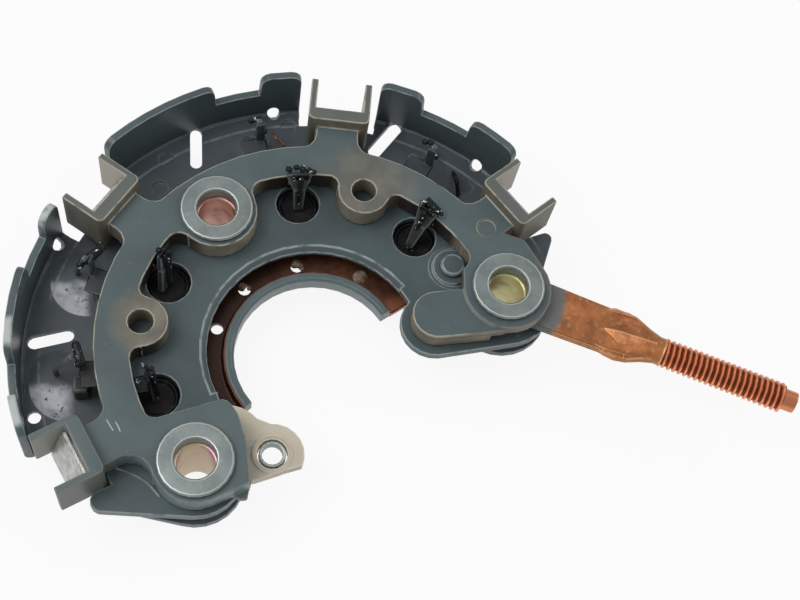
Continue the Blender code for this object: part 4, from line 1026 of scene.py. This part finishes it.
# The directions in which the lead guides point, in degrees; the radius past which they stand, and half the
# width of their end walls, in millimetres
GUIDES = (230.2, 166.8, 106.6, 59.65)
GUIDE_FOOT = 49.8
GUIDE_HALF_WIDTH = 4.9

# Posts of the plate beside the negative hooks: rounding, then corners, bottom and top, in millimetres
POST_EDGE = 0.6
POSTS = (
    (((-46.2, -4.2), (-43.6, -1.8), (-40.2, -6.7), (-43.2, -8.2)), 2.0, 5.2),
    (((-41.0, -23.2), (-38.2, -21.6), (-36.8, -25.2), (-39.6, -26.4)), 2.0, 6.4),
    (((-29.6, 32.6), (-31.3, 37.3), (-26.8, 40.1), (-24.0, 36.0)), 2.4, 9.4),
    (((1.4, 42.0), (2.0, 48.2), (7.0, 47.6), (6.8, 41.6)), 2.4, 9.4),
)


class RECTIFIER_OT_mouldings(Operator):
    """The lug with its insert, and the insulating bushes"""
    bl_idname = "rectifier.mouldings"
    bl_label = "Lug and bushes"

    def execute(self, context):
        edged(context, "lug_insulator", "pale_moulding", setting="moulding_edge")
        edged(context, "lug_insert", "washer_steel")
        for i in (2, 3):
            edged(context, f"insulator_bush_{i}", "pale_moulding", 1.0, 1)
        insert = middle("lug_insert") - AXIS
        low, high = LUG_TOP - 0.1, LUG_TOP + 0.28
        bm = bmesh.new()
        profile = ((3.3, low), (3.4, high), (3.9, high), (4.05, low))
        turned(bm, insert.x / MM, insert.y / MM, profile)
        finished(context, "lug_ring", bm, "pale_moulding")
        return {"FINISHED"}


# The level of the lug's top, in millimetres
LUG_TOP = 4.7


class RECTIFIER_OT_bushings(Operator):
    """The flanged washers and the sleeves"""
    bl_idname = "rectifier.bushings"
    bl_label = "Bushings"

    def execute(self, context):
        for i in (1, 2, 3):
            edged(context, f"flanged_washer_{i}", "washer_steel")
            edged(context, f"bushing_sleeve_{i}", "passivated_steel", 1.0, 1)
        return {"FINISHED"}


class RECTIFIER_OT_diodes(Operator):
    """The diodes, the leads, the hooks that hold them, and the varnish over the joints"""
    bl_idname = "rectifier.diodes"
    bl_label = "Diodes and leads"

    def execute(self, context):
        for i in range(1, 5):
            edged(context, f"positive_diode_{i}", "diode_resin")
            edged(context, f"positive_hook_{i}", "varnished_wire", 1 / 2, 1)
            edged(context, f"positive_lead_{i}", "varnished_wire", 1 / 3, 1)
            edged(context, f"negative_hook_{i}", "varnished_wire", 1 / 2, 1, "post_paint")
            edged(context, f"negative_lead_{i}", "varnished_wire", 1 / 3, 1, "sink_floor")
            bm = node_copy(f"negative_diode_{i}")
            cut_off(bm, at(0, 0, NEGATIVE_TOP), Vector((0, 0, 1)))
            spot = middle(f"negative_diode_{i}") - AXIS
            turned(bm, spot.x / MM, spot.y / MM, DOME, slopes_lit=False)
            finished(context, f"negative_diode_{i}_dressed", bm, "diode_resin", f"negative_diode_{i}",
                     look="sink_floor")
        bm = bmesh.new()
        for top, bottom, widths, depths in SLEEVED_LEADS:
            tapered(bm, at(*top), at(*bottom), *widths, *depths, across(top[0], top[1]))
        rounded(bm, COVER_EDGE * MM, 2)
        weighted(finished(context, "lead_covers", bm, "varnished_wire", look="lead_insulation"))
        bm = bmesh.new()
        for number, (x, y, z, size) in enumerate(LUMPS):
            lump(bm, x, y, z, size * 0.8, 0.8, number * 3.7)
        tapered(bm, at(9.3, 35.9, 13.9), at(12.9, 34.2, 13.9), 1.7, 1.5, 1.5, 1.3, Vector((0, 0, 1)))
        for start, end, radius in DROPS:
            capsule(bm, at(*start), at(*end), radius)
        finished(context, "varnish_lumps", bm, "varnished_wire", smooth=80.0)
        for name, points, thickness, slot, look in STRANDS:
            strand(context, name, points, thickness, slot, look)
        return {"FINISHED"}


# The low painted dome over each negative diode: radius and height in millimetres
DOME = ((0.0, 2.34), (1.8, 2.31), (3.4, 2.2), (4.6, 2.05), (5.2, 1.99), (0.0, 1.95))

# Loose ends: their routes and thicknesses in millimetres
STRANDS = (
    ("wire_scrap", ((-27.0, 43.2, 4.6), (-26.0, 42.0, 5.4), (-24.6, 41.6, 5.2), (-23.2, 41.2, 4.4)), 0.42,
     "bare_copper", "copper_wire"),
    # A thin strip along a hook's folded edge, lighter with a painted highlight
    ("bare_edge", ((-29.1, -17.2, 10.3), (-27.8, -18.4, 10.5), (-26.9, -19.4, 10.3), (-25.6, -20.6, 9.2)),
     0.42, "varnished_wire", "worn_fold"),
    ("brown_lead", ((11.7, 50.8, 3.0), (11.9, 49.4, 5.2), (13.4, 47.7, 5.0), (14.4, 46.4, 2.4)), 0.9,
     "varnished_wire", None),
)

# Covers of the positive leads, from the hook down into the window: rounding, then ends, widths and depths
# in millimetres
COVER_EDGE = 0.28
SLEEVED_LEADS = (
    ((-16.6, 31.6, 13.6), (-15.8, 29.9, 10.6), (5.6, 2.7), (1.0, 1.4)),
    ((-15.8, 29.9, 10.8), (-15.1, 28.1, 5.7), (2.6, 2.0), (1.4, 1.3)),
    ((10.5, 34.6, 13.5), (10.0, 32.2, 10.4), (4.6, 2.9), (1.1, 1.4)),
    ((10.0, 32.2, 10.6), (9.2, 29.2, 5.7), (2.8, 1.7), (1.4, 1.3)),
    ((-34.5, 4.3, 13.2), (-33.6, 3.0, 10.0), (2.2, 2.9), (1.1, 1.3)),
    ((-33.6, 3.0, 10.2), (-32.6, 1.2, 5.7), (2.8, 3.8), (1.3, 1.3)),
    ((-26.6, -19.4, 12.8), (-24.8, -21.0, 5.7), (1.7, 2.3), (1.1, 1.3)),
)

# Stretched drops of varnish: ends and radius in millimetres
DROPS = (
    ((-45.9, 0.9, 13.1), (-47.0, -2.4, 12.9), 1.05),
    ((-47.7, -2.3, 12.7), (-48.0, -3.9, 12.5), 0.75),
    ((-41.4, -19.6, 13.0), (-39.0, -22.4, 12.9), 0.85),
)

# Blobs of varnish and solder on the joints: place and size in millimetres
LUMPS = (
    (-18.8, 31.4, 13.9, 0.9), (-17.5, 32.3, 14.1, 0.8), (-16.2, 32.6, 14.0, 0.95), (-15.0, 32.8, 14.1, 0.8),
    (-13.9, 32.9, 13.8, 0.7), (9.0, 35.2, 13.9, 1.0), (10.4, 35.2, 14.1, 0.95), (11.8, 34.9, 14.0, 0.95),
    (12.9, 34.3, 13.8, 0.8), (9.0, 28.2, 6.5, 0.6), (10.2, 28.0, 6.4, 0.5), (-35.2, 4.4, 13.8, 0.8),
    (-34.3, 4.8, 14.2, 0.75), (-33.6, 3.9, 13.7, 0.7), (-27.2, -19.0, 13.8, 0.8), (-26.3, -18.9, 14.2, 0.7),
    (-26.6, -20.4, 13.2, 0.8), (-46.6, 0.0, 13.0, 1.0), (-46.9, -1.4, 13.2, 0.95), (-47.3, -2.8, 13.1, 1.0),
    (-48.0, -3.2, 12.6, 0.7), (-41.2, -20.2, 13.0, 0.8), (-40.2, -21.4, 13.1, 0.85),
    (-39.4, -22.9, 13.0, 0.9), (-30.2, 39.5, 13.0, 0.9), (-29.2, 40.2, 13.1, 0.9),
    (-28.2, 38.9, 12.8, 0.85), (-27.0, 38.4, 12.6, 0.8),
    (4.4, 49.4, 13.0, 0.85), (5.6, 49.6, 13.2, 0.9), (6.4, 48.4, 12.9, 0.9), (7.6, 47.2, 12.7, 0.9),
)


class RECTIFIER_OT_bolt(Operator):
    """The copper terminal bolt with its thread"""
    bl_idname = "rectifier.bolt"
    bl_label = "Terminal bolt"

    def execute(self, context):
        edge = context.scene.rectifier_edges
        bolt = context.scene.rectifier_bolt
        bm = node_copy("terminal_bolt")
        tip = [v.co.copy() for v in bm.verts if v.co.x > at(91.5, 0).x]
        axis_y = (min(p.y for p in tip) + max(p.y for p in tip)) / 2
        axis_z = (min(p.z for p in tip) + max(p.z for p in tip)) / 2
        rounded(bm, edge.plate_edge, edge.edge_steps)
        cut_off(bm, at(THREAD_START + THREAD_OVERLAP, 0), Vector((1, 0, 0)))
        weighted(finished(context, "terminal_bolt_body", bm, "bare_copper", "terminal_bolt"))
        bm = bmesh.new()
        line = (axis_y - AXIS.y) / MM
        for points in BOLT_FACETS:
            corners = [bm.verts.new(at(x, line + y, z)) for x, y, z in points]
            bmesh.ops.convex_hull(bm, input=corners)
        bmesh.ops.recalc_face_normals(bm, faces=bm.faces)
        rounded(bm, FACET_EDGE * MM, 2, 12.0)
        weighted(finished(context, "terminal_bolt_facets", bm, "bare_copper"))
        pitch = bolt.length / bolt.turns
        start = at(THREAD_START, 0).x
        end = start + bolt.length
        bm = bmesh.new()
        crest = bm.loops.layers.float.new("crest")
        radii = (bolt.root, bolt.root, bolt.crest, bolt.crest, bolt.root)
        points = []
        for share, reach in zip(THREAD_SHARES, radii):
            points.append(bm.verts.new((start + (share - 1) * pitch, axis_y, axis_z + reach)))
        edges = [bm.edges.new(pair) for pair in zip(points, points[1:])]
        turns = bolt.turns + 2
        bmesh.ops.spin(bm, geom=points + edges, cent=(0, axis_y, axis_z), axis=(1, 0, 0),
                       dvec=(pitch / STEPS_PER_TURN, 0, 0), angle=math.tau * turns,
                       steps=STEPS_PER_TURN * turns, use_merge=False, use_duplicate=False)
        bmesh.ops.remove_doubles(bm, verts=bm.verts, dist=SAME)
        for stop, outward in ((start, -1), (end, 1)):
            cut_off(bm, Vector((stop, 0, 0)), Vector((outward, 0, 0)))
        bmesh.ops.recalc_face_normals(bm, faces=bm.faces)

        def height(loop):
            reach = math.hypot(loop.vert.co.y - axis_y, loop.vert.co.z - axis_z)
            return min(1.0, max(0.0, (reach - bolt.root) / (bolt.crest - bolt.root)))

        mark_corners(bm.faces, crest, height)
        finished(context, "terminal_bolt_thread", bm, "bare_copper", look="copper_thread", smooth=35.0)
        bm = bmesh.new()
        made = bmesh.ops.create_cone(bm, cap_ends=True, segments=32, radius1=DOG_RADIUS * MM,
                                     radius2=DOG_RADIUS * MM, depth=DOG_LENGTH * MM)
        place = Matrix.Translation((end + DOG_OUT * MM, axis_y, axis_z))
        place = place @ Matrix.Rotation(math.radians(90), 4, "Y")
        bmesh.ops.transform(bm, matrix=place, verts=made["verts"])
        rounded(bm, DOG_EDGE * MM, 3)
        # The dog point counts as near the crests, so it takes the thread's painted highlight
        crest = bm.loops.layers.float.new("crest")
        mark_corners(bm.faces, crest, lambda loop: 0.8)
        weighted(finished(context, "terminal_bolt_dog", bm, "bare_copper", look="copper_thread"))
        return {"FINISHED"}


# The thread: where it starts, how far the plain bolt reaches into it, and the shares of a turn at which its
# section bends; the dog point: radius, length, distance past the thread and rounding; all in millimetres
THREAD_START = 64.7
THREAD_OVERLAP = 0.2
THREAD_SHARES = (0.0, 0.06, 0.36, 0.66, 1.0)
STEPS_PER_TURN = 28
DOG_RADIUS = 2.15
DOG_LENGTH = 3.2
DOG_OUT = 1.2
DOG_EDGE = 0.3

# Facets pressed up on the bolt's flare: rounding, then corners along the bolt, across from its line, and up,
# in millimetres; the last two sets mirror each other
FACET_EDGE = 0.16
SIDE_FACET = ((50.4, 4.0, 9.2), (53.0, 5.2, 9.2), (57.6, 5.0, 9.3), (60.2, 3.6, 9.3), (53.4, 4.6, 10.0),
              (57.2, 4.3, 10.1), (53.0, 5.0, 8.4), (57.4, 4.8, 8.4))
BOLT_FACETS = (
    ((51.6, 0.0, 9.2), (55.6, 2.3, 9.75), (55.6, -2.3, 9.75), (55.0, 0.0, 10.35), (63.0, 1.5, 10.6),
     (63.0, -1.5, 10.6), (62.8, 0.0, 11.25), (62.8, 0.0, 9.0), (52.0, 0.0, 9.0)),
    SIDE_FACET,
    tuple((x, -y, z) for x, y, z in SIDE_FACET),
)


class RECTIFIER_PT_panel(Panel):
    """Lists the rectifier's settings and pieces"""
    bl_idname = "RECTIFIER_PT_panel"
    bl_label = "Rectifier"
    bl_space_type = "VIEW_3D"
    bl_region_type = "UI"
    bl_category = "Rectifier"

    def draw(self, context):
        for group in SETTINGS:
            settings = getattr(context.scene, group)
            box = self.layout.box()
            for name in settings.bl_rna.properties.keys():
                if name not in ("rna_type", "name"):
                    box.prop(settings, name)
        for operator in PIECES:
            self.layout.operator(operator.bl_idname)


PIECES = (
    RECTIFIER_OT_stage,
    RECTIFIER_OT_sinks,
    RECTIFIER_OT_plate,
    RECTIFIER_OT_mouldings,
    RECTIFIER_OT_bushings,
    RECTIFIER_OT_diodes,
    RECTIFIER_OT_bolt,
)
SETTINGS = {
    "rectifier_look": LookSettings,
    "rectifier_edges": EdgeSettings,
    "rectifier_bolt": BoltSettings,
    "rectifier_stage": StageSettings,
}


def register():
    for name, group in SETTINGS.items():
        bpy.utils.register_class(group)
        setattr(bpy.types.Scene, name, PointerProperty(type=group))
    for operator in PIECES:
        bpy.utils.register_class(operator)
    bpy.utils.register_class(RECTIFIER_PT_panel)


def unregister():
    bpy.utils.unregister_class(RECTIFIER_PT_panel)
    for operator in reversed(PIECES):
        bpy.utils.unregister_class(operator)
    for name, group in SETTINGS.items():
        delattr(bpy.types.Scene, name)
        bpy.utils.unregister_class(group)


def main():
    register()
    bpy.ops.rectifier.stage()
    bpy.ops.rectifier.sinks()
    bpy.ops.rectifier.plate()
    bpy.ops.rectifier.mouldings()
    bpy.ops.rectifier.bushings()
    bpy.ops.rectifier.diodes()
    bpy.ops.rectifier.bolt()


if __name__ == "__main__":
    main()
